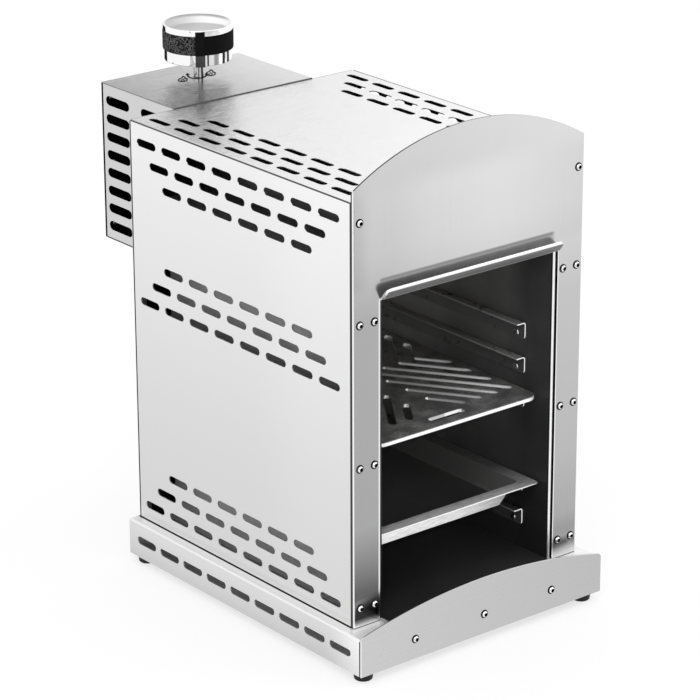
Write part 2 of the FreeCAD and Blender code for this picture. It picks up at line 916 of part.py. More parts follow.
def probe(side):
    """Ceramic sleeve through the chamber's rear wall with a metal tip bent up to the tiles."""
    x = side * electrode_offset
    rear = body_depth + electrode_rear
    sleeve = drum(electrode_radius, electrode_length, x, rear, electrode_level, Vector(0, -1, 0))
    end = rear - electrode_length
    corner = end - electrode_tip_reach
    path = [
        Vector(x, end, electrode_level),
        Vector(x, corner, electrode_level),
        Vector(x, corner - electrode_tip_forward, electrode_level + electrode_tip_rise),
    ]
    return sleeve.fuse(pipe_along(path, electrode_tip_radius, [0.0, electrode_tip_bend], lead_sides))


# Rear box

def rear_slot_centres():
    """Slot centres on the right side of the rear box."""
    last = rear_back - rear_slot_back_margin - rear_slot_length / 2
    centres = []
    for row in range(rear_slot_rows):
        for column in range(rear_slot_columns):
            level = rear_bottom + rear_slot_first_row + row * rear_slot_row_step
            centres.append(Vector(rear_half_width, last - column * rear_slot_pitch, level))
    return centres


def rear_screw_places():
    """Screw centres on the back of the rear box, as (x, z)."""
    x = rear_half_width - rear_screw_inset
    middle = (rear_bottom + rear_top) / 2
    levels = (rear_bottom + rear_screw_end, middle, rear_top - rear_screw_end)
    return [(side * x, z) for side in (-1, 1) for z in levels]


def rear_box_side_right():
    """Folded side of the rear box with a flange at each end and two columns of slots."""
    def place(u, v):
        return Vector(u, v, rear_bottom)

    back = rear_back - rear_sheet
    path = [
        (rear_half_width - rear_flange, body_depth),
        (rear_half_width, body_depth),
        (rear_half_width, back),
        (rear_half_width - rear_flange, back),
    ]
    height = Vector(0, 0, rear_top - rear_sheet - rear_bottom)
    wall = folded_sheet(path, rear_sheet, panel_bend, place, height)
    cutters = [slot_cutter(centre, Vector(0, 1, 0), Vector(0, 0, 1), rear_slot_length, rear_slot_height, 6)
               for centre in rear_slot_centres()]
    cutters += [screw_hole(x, back, z, Vector(0, 1, 0)) for x, z in rear_screw_places() if x > 0]
    return wall.cut(cutters)


def rear_box_back():
    """Back sheet of the rear box."""
    sheet = block(-rear_half_width, rear_half_width, rear_back - rear_sheet, rear_back,
                  rear_bottom, rear_top - rear_sheet)
    return sheet.cut([screw_hole(x, rear_back, z, Vector(0, 1, 0)) for x, z in rear_screw_places()])


def rear_box_screws():
    """Six screws in the back of the rear box."""
    backward = Vector(0, 1, 0)
    return Part.makeCompound([button_screw(x, rear_back, z, backward) for x, z in rear_screw_places()])


def rear_box_roof():
    """Roof of the rear box with the hole that the stem passes through."""
    roof = block(-rear_half_width, rear_half_width, body_depth, rear_back, rear_top - rear_sheet, rear_top)
    upper = edges_at(roof, lambda centre, edge: centre.z > rear_top - 1e-6 and centre.y > body_depth + 1)
    roof = roof.makeFillet(0.6 * rear_sheet, upper)
    return roof.cut(drum(stem_radius + stem_roof_gap, 10, 0, valve_y, rear_top - 5))


def rear_floor_level():
    """Top of the rear box's floor."""
    return rear_bottom + rear_floor_recess + rear_sheet


def rear_box_floor():
    """Recessed floor of the rear box with the gas inlet's hole."""
    level = rear_floor_level()
    half = rear_half_width - rear_sheet
    clear = rear_sheet + panel_bend
    floor = block(-half, half, body_depth + clear, rear_back - rear_sheet - clear, level - rear_sheet, level)
    hole = inlet_thread_radius - inlet_neck_relief + screw_hole_gap
    return floor.cut(drum(hole, 10, inlet_offset, valve_y, level - 5))


# Gas valve and supply

def valve_boss_front():
    """Front of the valve's outlet boss."""
    return valve_y - valve_block_half - valve_boss_length


def valve_body():
    """Cast block with a bored neck, a plug chamber, an inlet from below and an outlet boss in front."""
    half = valve_block_half
    cast = block(-half, half, valve_y - half, valve_y + half, valve_bottom, valve_bottom + valve_block_height)
    upright = edges_at(cast, lambda centre, edge: runs_along(edge, Vector(0, 0, 1)))
    cast = cast.makeFillet(valve_corner, upright)
    neck = drum(valve_neck_radius, valve_neck_height, 0, valve_y, valve_bottom + valve_block_height)
    forward = Vector(0, -1, 0)
    boss = drum(valve_boss_radius, half + valve_boss_length, 0, valve_y, mixing_level, forward)
    ceiling = valve_bottom + valve_block_height - valve_roof
    well = ceiling - valve_bottom - plug_floor
    chamber = drum(plug_radius + plug_fit, well, 0, valve_y, valve_bottom + plug_floor)
    bore = drum(stem_radius + stem_fit, valve_roof + valve_neck_height + 1, 0, valve_y, ceiling)
    inlet = drum(pipe_radius - pipe_wall, plug_floor + 2, 0, valve_y, valve_bottom - 1)
    outlet = drum(valve_outlet_radius, half + valve_boss_length + 1, 0, valve_y, mixing_level, forward)
    return cast.fuse([neck, boss]).removeSplitter().cut([chamber, bore, inlet, outlet])


def valve_plug():
    """Turning plug in the valve, with a cross slot for the stem's tongue and a gas port."""
    bottom = valve_bottom + plug_floor
    plug = drum(plug_radius, plug_height, 0, valve_y, bottom)
    depth = tongue_height + press_travel + tongue_end_gap
    slot = block(-tongue_thickness / 2 - tongue_gap, tongue_thickness / 2 + tongue_gap,
                 valve_y - plug_radius - 1, valve_y + plug_radius + 1,
                 bottom + plug_height - depth, bottom + plug_height + 1)
    slot.rotate(Vector(0, valve_y, 0), Vector(0, 0, 1), -pointer_turn)
    port = drum(valve_outlet_radius, 4 * plug_radius, 0, valve_y - 2 * plug_radius,
                mixing_level, Vector(0, 1, 0))
    return plug.cut([slot, port])


def tongue_level():
    """Bottom of the stem's tongue at rest."""
    return valve_bottom + plug_floor + plug_height - tongue_height


def stem_top():
    """Top of the stem, inside the knob."""
    return rear_top + knob_clearance + knob_height - knob_dish_depth - knob_wall - knob_hub_cover


def valve_stem():
    """Stem with a flat tongue at its lower end."""
    shoulder = tongue_level() + tongue_height + press_travel + tongue_end_gap
    shaft = drum(stem_radius, stem_top() - shoulder, 0, valve_y, shoulder)
    tongue = block(-tongue_thickness / 2, tongue_thickness / 2, valve_y - stem_radius, valve_y + stem_radius,
                   tongue_level(), shoulder + 1)
    tongue = tongue.common(drum(stem_radius, stem_top(), 0, valve_y, tongue_level() - 1))
    tongue.rotate(Vector(0, valve_y, 0), Vector(0, 0, 1), -pointer_turn)
    return shaft.fuse(tongue).removeSplitter()


def stem_collar():
    """Spring washer seat that rides on the stem between the valve's neck and the roof."""
    collar = drum(collar_radius, collar_height, 0, valve_y, collar_bottom)
    return collar.cut(drum(stem_radius + stem_fit, 20, 0, valve_y, collar_bottom - 5))


def valve_bracket():
    """Folded shelf on the rear of the body that carries the valve, forked round the mixing tube."""
    def place(u, v):
        return Vector(-bracket_half_width, u, v)

    path = [
        (valve_y + valve_block_half, valve_bottom),
        (body_depth, valve_bottom),
        (body_depth, valve_bottom - bracket_leg),
    ]
    shelf = folded_sheet(path, bracket_sheet, bracket_sheet, place, Vector(2 * bracket_half_width, 0, 0))
    radius = mixing_mouth_radius + bracket_notch_gap
    reach = valve_boss_front() - injector_length - body_depth + bracket_notch_gap
    notch = drum(radius, reach + 1, 0, body_depth - 1, mixing_level, Vector(0, 1, 0))
    return shelf.cut([notch, drum(pipe_radius + bracket_pipe_gap, 20, 0, valve_y, valve_bottom - 10)])


def injector():
    """Brass nozzle in front of the valve's outlet, aimed into the mixing tube."""
    start = valve_boss_front()
    forward = Vector(0, -1, 0)
    shoulder = start - injector_length + injector_nose_length
    body = drum(injector_radius, start - shoulder, 0, start, mixing_level, forward)
    nose = Part.makeCone(injector_nose_base, injector_nose_tip, injector_nose_length,
                         Vector(0, shoulder, mixing_level), forward)
    bore = drum(injector_orifice, injector_length + 4, 0, start + 2, mixing_level, forward)
    return body.fuse(nose).cut(bore)


def inlet_fitting():
    """Threaded gas inlet below the rear box, with a hexagon collar above the floor."""
    level = rear_floor_level()
    bottom = rear_bottom + rear_floor_recess - inlet_drop
    neck = drum(inlet_thread_radius - inlet_neck_relief, level - bottom, inlet_offset, valve_y, bottom)
    thread = level - rear_sheet - nut_height - bottom
    spigot = neck.fuse(drum(inlet_thread_radius, thread, inlet_offset, valve_y, bottom))
    place = Vector(inlet_offset, valve_y, level)
    collar = prism(6, inlet_hex_across / math.sqrt(3), inlet_hex_height, place, Vector(0, 0, 1))
    bore = drum(pipe_radius + inlet_bore_gap, 100, inlet_offset, valve_y, bottom - 1)
    return spigot.fuse(collar).removeSplitter().cut(bore)


def inlet_nut():
    """Hexagon nut that clamps the inlet to the floor from below."""
    level = rear_floor_level() - rear_sheet
    place = Vector(inlet_offset, valve_y, level - nut_height)
    nut = prism(6, inlet_hex_across / math.sqrt(3), nut_height, place, Vector(0, 0, 1))
    hole = inlet_thread_radius - inlet_neck_relief + screw_hole_gap
    return nut.cut(drum(hole, 20, inlet_offset, valve_y, level - 10))


def supply_pipe():
    """Pipe from inside the inlet's collar up, across and into the bottom of the valve."""
    start = rear_floor_level()
    turn = (start + valve_bottom) / 2
    path = [
        Vector(inlet_offset, valve_y, start),
        Vector(inlet_offset, valve_y, turn - pipe_bend / 2),
        Vector(0, valve_y, turn + pipe_bend / 2),
        Vector(0, valve_y, valve_bottom),
    ]
    return pipe_along(path, pipe_radius, [pipe_bend] * 3, pipe_sides)


def lead(side):
    """Lead from the rear end of a probe's sleeve, round and up into the side of the valve."""
    x = side * electrode_offset
    start = body_depth + electrode_rear
    port = valve_bottom + valve_block_height / 2
    path = [
        Vector(x, start, electrode_level),
        Vector(x, start + lead_straight, electrode_level),
        Vector(x + side * lead_spread, valve_y - lead_straight, electrode_level + lead_rise),
        Vector(x + side * lead_spread / 2, valve_y - lead_end / 4, port - lead_rise),
        Vector(side * (valve_block_half + lead_end), valve_y, port),
        Vector(side * valve_block_half, valve_y, port),
    ]
    return pipe_along(path, lead_radius, widest_bends(path), lead_sides)


# Knob

def knob_bottom():
    """Underside of the knob's skirt."""
    return rear_top + knob_clearance


def knob_core():
    """Bright turned core: skirt, a seat for the grip, and a dished top with a bevelled rim."""
    bottom = knob_bottom()
    top = bottom + knob_height
    seat = bottom + knob_skirt_height
    bore = stem_radius
    inside = knob_core_radius - knob_wall
    under = top - knob_rim_height
    dish = knob_top_radius - knob_rim_width
    floor = top - knob_dish_depth
    profile = [
        (bore, stem_top()),
        (bore, bottom + knob_wall),
        (knob_hub_radius, bottom + knob_wall),
        (knob_hub_radius, floor - knob_wall),
        (inside, floor - knob_wall),
        (inside, bottom),
        (knob_skirt_radius - knob_skirt_edge, bottom),
        (knob_skirt_radius, bottom + knob_skirt_edge),
        (knob_skirt_radius, seat),
        (knob_core_radius, seat),
        (knob_core_radius, under),
        (knob_top_radius, under),
        (knob_top_radius - knob_rim_bevel, top),
        (dish, top),
        (dish - knob_dish_depth, floor),
        (0, floor),
        (0, stem_top()),
    ]
    return turned(profile, 0, valve_y)


def knob_grip():
    """Rubber ring on the core's seat, open where the pointer lies."""
    bottom = knob_bottom() + knob_skirt_height
    top = knob_bottom() + knob_height - knob_rim_height
    profile = [
        (knob_core_radius, bottom),
        (knob_grip_radius - grip_edge, bottom),
        (knob_grip_radius, bottom + grip_edge),
        (knob_grip_radius, top - grip_edge),
        (knob_grip_radius - grip_edge, top),
        (knob_core_radius, top),
    ]
    return turned(profile, 0, valve_y).cut(pointer_slot())


def pointer_slot():
    """Upright space that the pointer takes up at the knob's edge."""
    bottom = knob_bottom()
    outer = knob_grip_radius + pointer_width
    inner = knob_top_radius - knob_rim_width
    slot = block(-pointer_width / 2, pointer_width / 2, valve_y - outer, valve_y - inner,
                 bottom - 1, bottom + knob_height + pointer_width)
    slot.rotate(Vector(0, valve_y, 0), Vector(0, 0, 1), -pointer_turn)
    return slot


def knob_pointer():
    """Raised pointer bar that runs over the rim, down the grip and down the skirt."""
    bottom = knob_bottom()
    seat = bottom + knob_skirt_height
    under = bottom + knob_height - knob_rim_height
    bar = drum(knob_grip_radius + pointer_proud, knob_height + pointer_proud, 0, valve_y, bottom)
    skirt = drum(knob_skirt_radius, knob_skirt_height, 0, valve_y, bottom)
    core = drum(knob_core_radius, knob_height - knob_skirt_height, 0, valve_y, seat)
    cap = drum(knob_top_radius, knob_rim_height, 0, valve_y, under)
    return bar.common(pointer_slot()).cut([skirt, core, cap])


# Grate and drip tray

def chevron_slots():
    """Slots of one quarter of the grate: parallel slants whose tips end on a rectangular field."""
    slope = math.tan(math.radians(grate_slot_angle))
    near = grate_field_gap / 2
    far = grate_depth / 2 - grate_field_front
    middle = grate_front + grate_depth / 2
    level = grate_level + grate_thickness / 2
    slots = []
    crossing = grate_field_outer - grate_first_slot
    while crossing + (far - near) * slope > grate_field_inner + grate_slot_width:
        begin = near + max(0.0, (grate_field_inner - crossing) / slope)
        end = near + min(far - near, (grate_field_outer - crossing) / slope)
        start = Vector(crossing + (begin - near) * slope, middle + begin, level)
        finish = Vector(crossing + (end - near) * slope, middle + end, level)
        along = (finish - start).normalize()
        across = Vector(-along.y, along.x, 0)
        length = (finish - start).Length
        centre = (start + finish) * 0.5
        depth = 4 * grate_thickness
        slots.append(slot_cutter(centre, along, across, length, grate_slot_width, depth))
        crossing -= grate_slot_step
    return slots


def grate():
    """Plate with chevron slots in four mirrored fields and a lifting slot at each end."""
    half = grate_half_width
    back = grate_front + grate_depth
    outline = round_plate(-half, half, grate_front, back, grate_level, grate_corner)
    plate = Part.Face(outline).extrude(Vector(0, 0, grate_thickness))
    quarter = Part.makeCompound(chevron_slots())
    middle = Vector(0, grate_front + grate_depth / 2, 0)
    rear = [quarter, mirrored(quarter)]
    front = [shape.mirror(middle, Vector(0, 1, 0)) for shape in rear]
    cutters = [solid for group in rear + front for solid in group.Solids]
    for y in (grate_front + lift_slot_inset, back - lift_slot_inset):
        centre = Vector(0, y, grate_level + grate_thickness / 2)
        cutters.append(slot_cutter(centre, Vector(1, 0, 0), Vector(0, 1, 0), lift_slot_length,
                                   lift_slot_width, 4 * grate_thickness))
    return plate.cut(cutters)


def basin(offset, top, bottom):
    """Tapered solid of the tray's basin, drawn in by an offset."""
    half = tray_half_width - tray_rim - offset
    front = tray_front + tray_rim + offset
    back = tray_front + tray_depth - tray_rim - offset
    upper = round_plate(-half, half, front, back, top, basin_corner - offset)
    half -= basin_draft
    lower = round_plate(-half, half, front + basin_draft, back - basin_draft, bottom, basin_corner - offset)
    solid = Part.makeLoft([upper, lower], True, True)
    rim = edges_at(solid, lambda centre, edge: centre.z < bottom + 1e-3)
    return solid.makeFillet(basin_floor_bend - offset, rim)


def tray_fold():
    """Strip folded down from the tray's front rim, with one slanted end."""
    left = -tray_half_width + tray_fold_left_inset
    right = tray_half_width - tray_fold_right_inset
    top = tray_level + tray_sheet
    low = tray_level - tray_fold_drop
    outline = [
        Vector(left, tray_front, top),
        Vector(right, tray_front, top),
        Vector(right - tray_fold_slant, tray_front, low),
        Vector(left, tray_front, low),
    ]
    return Part.Face(Part.makePolygon(outline + outline[:1])).extrude(Vector(0, tray_sheet, 0))


def drip_tray():
    """Pressed tray with a flat rim, a tapered basin and a folded front."""
    half = tray_half_width
    outline = round_plate(-half, half, tray_front, tray_front + tray_depth, tray_level, tray_corner)
    rim = Part.Face(outline).extrude(Vector(0, 0, tray_sheet))
    top = tray_level + tray_sheet
    bottom = top - basin_depth
    body = rim.fuse([basin(0, top, bottom), tray_fold()])
    hollow = basin(tray_sheet, top, bottom + tray_sheet)
    return body.cut(hollow).removeSplitter()


right_side = side_panel_right()
right_liner = liner_right()
right_rails = shelf_rails_right()
right_rear_side = rear_box_side_right()

pieces = {
    "base_tray": base_tray(),
    "base_front_plate": base_front_plate(),
    "apron_screws": apron_screws(),
    "rubber_feet": rubber_feet(),
    "foot_screws": foot_screws(),
    "side_panel_left": mirrored(right_side),
    "side_panel_right": right_side,
    "top_panel": top_panel(),
    "back_panel": back_panel(),
    "front_panel": front_panel(),
    "front_panel_screws": front_panel_screws(),
    "liner_left": mirrored(right_liner),
    "liner_right": right_liner,
    "liner_back": liner_back(),
    "chamber_floor": chamber_floor(),
    "chamber_ceiling": chamber_ceiling(),
    "shelf_rails_left": mirrored(right_rails),
    "shelf_rails_right": right_rails,
    "rail_rivets": rail_rivets(),
    "ceramic_tiles": ceramic_tiles(),
    "burner_frame": burner_frame(),
    "burner_housing": burner_housing(),
    "mixing_tube": mixing_tube(),
    "ignition_electrode": probe(1),
    "flame_probe": probe(-1),
    "rear_box_side_left": mirrored(right_rear_side),
    "rear_box_side_right": right_rear_side,
    "rear_box_back": rear_box_back(),
    "rear_box_screws": rear_box_screws(),
    "rear_box_roof": rear_box_roof(),
    "rear_box_floor": rear_box_floor(),
    "valve_body": valve_body(),
    "valve_plug": valve_plug(),
    "valve_stem": valve_stem(),
    "stem_collar": stem_collar(),
    "valve_bracket": valve_bracket(),
    "injector": injector(),
    "inlet_fitting": inlet_fitting(),
    "inlet_nut": inlet_nut(),
    "supply_pipe": supply_pipe(),
    "ignition_lead": lead(1),
    "probe_lead": lead(-1),
    "knob_core": knob_core(),
    "knob_grip": knob_grip(),
    "knob_pointer": knob_pointer(),
    "grate": grate(),
    "drip_tray": drip_tray(),
}

for name, shape in pieces.items():
    save(name, shape)
    print(name, len(shape.Solids), shape.isValid(), round(shape.Volume / 1000, 2))
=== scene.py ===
import json
import math
import random
from functools import reduce

import bmesh
import bpy
from mathutils import Matrix, Vector

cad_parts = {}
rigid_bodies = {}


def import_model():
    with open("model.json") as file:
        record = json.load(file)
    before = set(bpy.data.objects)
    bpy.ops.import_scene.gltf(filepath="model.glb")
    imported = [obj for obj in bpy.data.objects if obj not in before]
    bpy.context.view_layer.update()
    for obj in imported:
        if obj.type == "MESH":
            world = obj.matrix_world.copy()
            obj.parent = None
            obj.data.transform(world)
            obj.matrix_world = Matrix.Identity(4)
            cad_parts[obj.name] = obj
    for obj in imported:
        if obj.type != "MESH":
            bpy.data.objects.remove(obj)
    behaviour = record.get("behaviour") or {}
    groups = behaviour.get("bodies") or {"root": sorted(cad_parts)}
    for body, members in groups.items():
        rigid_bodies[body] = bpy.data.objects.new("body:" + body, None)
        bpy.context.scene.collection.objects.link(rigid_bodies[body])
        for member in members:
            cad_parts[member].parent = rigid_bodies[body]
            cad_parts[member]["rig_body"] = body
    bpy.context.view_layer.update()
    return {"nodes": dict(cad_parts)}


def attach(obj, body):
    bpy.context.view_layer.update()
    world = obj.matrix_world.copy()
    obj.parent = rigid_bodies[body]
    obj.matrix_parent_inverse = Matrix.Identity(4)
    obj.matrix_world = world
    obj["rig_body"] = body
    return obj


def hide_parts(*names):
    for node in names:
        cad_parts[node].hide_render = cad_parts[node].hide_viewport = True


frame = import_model()
nodes = frame["nodes"]
dice = random.Random(7)

# the drawing is in mm and has y = 0 at the side panels' front edge and z = 0 on the deck
drawingBack = -195.15
drawingUp = 41.6
mm = 0.001
perMetre = 1000


def at(x, y, z):
    return Vector((x, y + drawingBack, z + drawingUp)) * mm


def facing(place, axis):  # mm frame at a place, with its z along an axis
    turn = Vector((0, 0, 1)).rotation_difference(Vector(axis)).to_matrix().to_4x4()
    return Matrix.Translation(place) @ turn @ Matrix.Scale(mm, 4)


# shader maths

class Wire:  # a socket that takes part in plain arithmetic
    def __init__(self, finish, socket):
        self.finish = finish
        self.socket = socket

    def math(self, operation, *values):
        return self.finish.add("ShaderNodeMath", {"operation": operation}, dict(enumerate(values)))

    def __add__(self, other):
        return self.math("ADD", self, other)

    __radd__ = __add__

    def __sub__(self, other):
        return self.math("SUBTRACT", self, other)

    def __rsub__(self, other):
        return self.math("SUBTRACT", other, self)

    def __mul__(self, other):
        return self.math("MULTIPLY", self, other)

    __rmul__ = __mul__

    def __truediv__(self, other):
        return self.math("DIVIDE", self, other)

    def __pow__(self, other):
        return self.math("POWER", self, other)

    def __abs__(self):
        return self.math("ABSOLUTE", self)

    def most(self, other):
        return self.math("MAXIMUM", self, other)

    def wave(self):
        return self.math("SINE", self)

    def rise(self, low, high):  # 0 below low, 1 above high, smooth between them
        return self.finish.add("ShaderNodeMapRange", {"interpolation_type": "SMOOTHSTEP"},
                               {"Value": self, "From Min": low, "From Max": high})


class Finish:  # a material and its nodes
    def __init__(self, name):
        self.material = bpy.data.materials.new(name)
        self.material.use_nodes = True
        self.tree = self.material.node_tree
        self.shader = next((n for n in self.tree.nodes if n.type == "BSDF_PRINCIPLED"), None)
        self.spot = self.add("ShaderNodeTexCoord", output="Object")
        self.axes = {}

    def add(self, kind, settings=None, inputs=None, output=0):
        node = self.tree.nodes.new(kind)
        for name, value in (settings or {}).items():
            if name == "stops":
                self.setStops(node.color_ramp, value)
            else:
                setattr(node, name, value)
        for name, value in (inputs or {}).items():
            self.feed(node.inputs[name], value)
        return Wire(self, node.outputs[output])

    def feed(self, socket, value):
        if isinstance(value, Wire):
            self.tree.links.new(value.socket, socket)
        else:
            socket.default_value = value

    def setStops(self, ramp, stops):
        while len(ramp.elements) > 1:
            ramp.elements.remove(ramp.elements[-1])
        for index, (place, colour) in enumerate(stops):
            stop = ramp.elements[0] if index == 0 else ramp.elements.new(place)
            stop.position = place
            stop.color = colour

    def give(self, **values):  # values for the shader's sockets, such as baseColor
        for name, value in values.items():
            words = "".join(" " + c if c.isupper() else c for c in name).title()
            self.feed(self.shader.inputs["Specular IOR Level" if words == "Specular" else words], value)

    def show(self, surface):  # a shader for the surface in place of the first one
        out = next(n for n in self.tree.nodes if n.type == "OUTPUT_MATERIAL")
        self.feed(out.inputs["Surface"], surface)

    def along(self, axis):  # x, y or z of the drawing, or wide, the distance from the middle plane
        if not self.axes:
            node = self.add("ShaderNodeSeparateXYZ", inputs={0: self.spot}).socket.node
            x, y, z = (Wire(self, socket) * perMetre for socket in node.outputs)
            self.axes = {"x": x, "y": y - drawingBack, "z": z - drawingUp, "wide": abs(x)}
        return self.axes[axis]

    def area(self, *groups):  # the largest of its groups: a group is one span, or spans to multiply
        masks = []
        for group in groups:
            spans = group if isinstance(group[0], tuple) else (group,)
            passed = [self.along(axis).rise(low, high) for axis, low, high in spans]
            masks.append(reduce(Wire.__mul__, passed))
        return reduce(Wire.most, masks)

    def noise(self, size, detail=2.0, rough=0.5):  # size in mm, one number or one for each axis
        sizes = size if isinstance(size, tuple) else (size, size, size)
        scale = [perMetre / s for s in sizes]
        spread = self.add("ShaderNodeMapping", inputs={"Vector": self.spot, "Scale": scale})
        return self.add("ShaderNodeTexNoise", {},
                        {"Vector": spread, "Scale": 1.0, "Detail": detail, "Roughness": rough})

    def lean(self, *direction):  # how far the surface faces a direction
        normal = self.add("ShaderNodeNewGeometry", output="Normal")
        return self.add("ShaderNodeVectorMath", {"operation": "DOT_PRODUCT"}, {0: normal, 1: direction},
                        output="Value")

    def mix(self, factor, first, second, blend="MIX"):
        return self.add("ShaderNodeMix", {"data_type": "RGBA", "blend_type": blend},
                        {0: factor, 6: first, 7: second}, output=2)

    def times(self, level, share):
        return self.mix(1.0, level, share, "MULTIPLY")

    def stroke(self, base, mask, level):  # a grey level where the mask is 1
        return self.mix(mask, base, grey(level))

    def strokes(self, base, marks):  # a mark is a grey level and its area's groups
        for level, *groups in marks:
            base = self.stroke(base, self.area(*groups), level)
        return base

    def toned(self, levels):  # one grey, or an axis and the grey levels along it
        return grey(levels) if isinstance(levels, float) else self.graded(self.along(levels[0]), levels[1])

    def graded(self, value, stops):  # grey levels along a value, as (value, level)
        low, high = stops[0][0], stops[-1][0]
        share = (value - low) / (high - low)
        ramp = [((place - low) / (high - low), grey(level)) for place, level in stops]
        return self.add("ShaderNodeValToRGB", {"stops": ramp}, {0: share})

    def bump(self, height, depth, under=None):  # depth in mm
        inputs = {"Height": height, "Distance": depth * mm, "Strength": 1.0}
        if under is not None:
            inputs["Normal"] = under
        return self.add("ShaderNodeBump", inputs=inputs)


def grey(level, warm=0.0):
    return (level * (1 + warm), level, level * (1 - warm), 1.0)


# steel sheets: a span such as ("x", 10, 12) is 0 at the first place and 1 at the second, in mm, and a pair
# without an axis does the same for another value

brushed = dict(
    line=0.4, lineLength=55.0, band=3.0, bandLength=190.0, roll=90.0, lineDepth=0.005, rollDepth=0.1,
    lineShare=0.6, spread=0.1, matt=0.9, mattRoughness=0.2)


def brushedSteel(name, axis, tint, roughness, stripes=0.03, depth=brushed["lineDepth"]):
    steel = Finish(name)

    def sizes(short, long):
        return tuple(long if letter == axis else short for letter in "xyz")

    line = steel.noise(sizes(brushed["line"], brushed["lineLength"]), 3.0, 0.6)
    band = steel.noise(sizes(brushed["band"], brushed["bandLength"]), 2.0)
    roll = steel.noise(brushed["roll"], 1.0)
    shade = 1 - stripes + stripes * (line + band)
    grain = line * brushed["lineShare"] + band * (1 - brushed["lineShare"]) - 0.5
    # the shading gives grey levels with painted light and shade, and the brushed grain varies them
    level, matt = tint(steel)
    steel.give(baseColor=steel.times(level, shade), metallic=1 - brushed["matt"] * matt,
               roughness=roughness + brushed["spread"] * grain + brushed["mattRoughness"] * matt,
               normal=steel.bump(line, depth, steel.bump(roll, brushed["rollDepth"])))
    return steel.material


def panelShading(part, tone=None):  # a panel's grey levels, its marks, and the inside that its skin leaves over, whose own level is painted shade
    def tint(steel):
        level = tone(steel, part) if tone else steel.toned(part["levels"])
        level = steel.strokes(level, part.get("marks", ()))
        if "skin" not in part:
            return level, 0.0
        skin = steel.area(*part["skin"])
        matt = part["matt"] * (1 - skin) if "matt" in part else 0.0
        return steel.mix(skin, steel.toned(part["inside"]), level), matt

    return tint


# side panels: grey levels by height are painted shade and reflection, lighter towards the front as painted light
sidePanel = dict(
    levels=("z", ((0, 0.80), (5, 0.72), (12, 0.67), (40, 0.68), (130, 0.72), (200, 0.77), (260, 0.81),
        (375, 0.89))), front=("y", 150, 40), frontGain=0.05,
    # the inner faces get grey levels by height as painted light and shade, dark near the top
    inside=("z", ((0, 0.45), (70, 0.35), (170, 0.30), (232, 0.42), (262, 0.05), (375, 0.03))), matt=0.6,
    skin=(("wide", 124.95, 125.25), (("z", 373.2, 373.8), ("x", -1, 1))),
    marks=((0.07, (("z", 373.7, 374.1), ("x", 1, -1)), ("y", 303.7, 304.1), ("z", 1.0, 0.7), ("y", 1.7, 1.3)),))
# top panel: grey levels on a slant are painted shade, the inner faces are painted dark as shade, and the marks
# are dark seams
topPanel = dict(
    levels=((0, 0.95), (0.35, 0.93), (0.7, 0.80), (1, 0.62)), depth=305, depthShare=0.55, width=251, right=125,
    skin=(("z", 374.2, 374.6),), inside=0.05, marks=((0.22, ("x", -123.9, -124.3), ("y", 303.8, 304.2)),))
# roof of the rear box: grey levels across are painted shade, darker to the left, and the inner faces are painted
# dark as shade
rearRoof = dict(
    levels=("x", ((-78, 0.34), (-50, 0.42), (0, 0.50), (40, 0.63), (78, 0.71))), skin=(("z", 375.0, 375.3),),
    inside=0.01, marks=((0.15, ("y", 306.1, 305.7)),))
# front apron: grey levels across are painted shade, and its left end is painted white as a highlight
apronPlate = dict(levels=("x", ((-137, 0.61), (-60, 0.58), (137, 0.52))), marks=((0.95, ("x", -136.2, -136.4)),))
# rear box sides: the inner faces are painted dark as shade; the marks are dark lines along the back, bottom and
# front edges
rearBox = dict(
    levels=0.65, skin=(("wide", 76.75, 77.0), ("y", 415.4, 415.7)), inside=0.012,
    marks=((0.04, (("y", 413.9, 414.3), ("y", 416.0, 415.7)), ("z", 230.2, 229.7), ("y", 306.3, 305.8)),))
# back and floor of the rear box: faces that look inwards are painted dark as shade
rearBack = dict(skin=0.64, inside=0.004, facing=(0.3, 0.6))
# back panel: the inner faces are painted dark as shade
backPanel = dict(levels=0.64, skin=(("y", 304.3, 304.6),), inside=0.04)


# painted shade by height, with painted light towards the front
def sidePaintedShade(steel, part):
    return steel.times(steel.toned(part["levels"]), 1 + part["frontGain"] * steel.area(part["front"]))


def topPaintedShade(steel, part):  # painted shade: darker from the front right to the rear left
    slant = steel.along("y") / part["depth"] * part["depthShare"]
    slant = slant + (part["right"] - steel.along("x")) / part["width"] * (1 - part["depthShare"])
    return steel.graded(slant, part["levels"])


def rearBackPaintedShade(steel):
    skin = steel.lean(0, 1, 0).most(steel.lean(0, 0, -1)).rise(*rearBack["facing"])
    return steel.mix(skin, grey(rearBack["inside"]), grey(rearBack["skin"])), 0.0


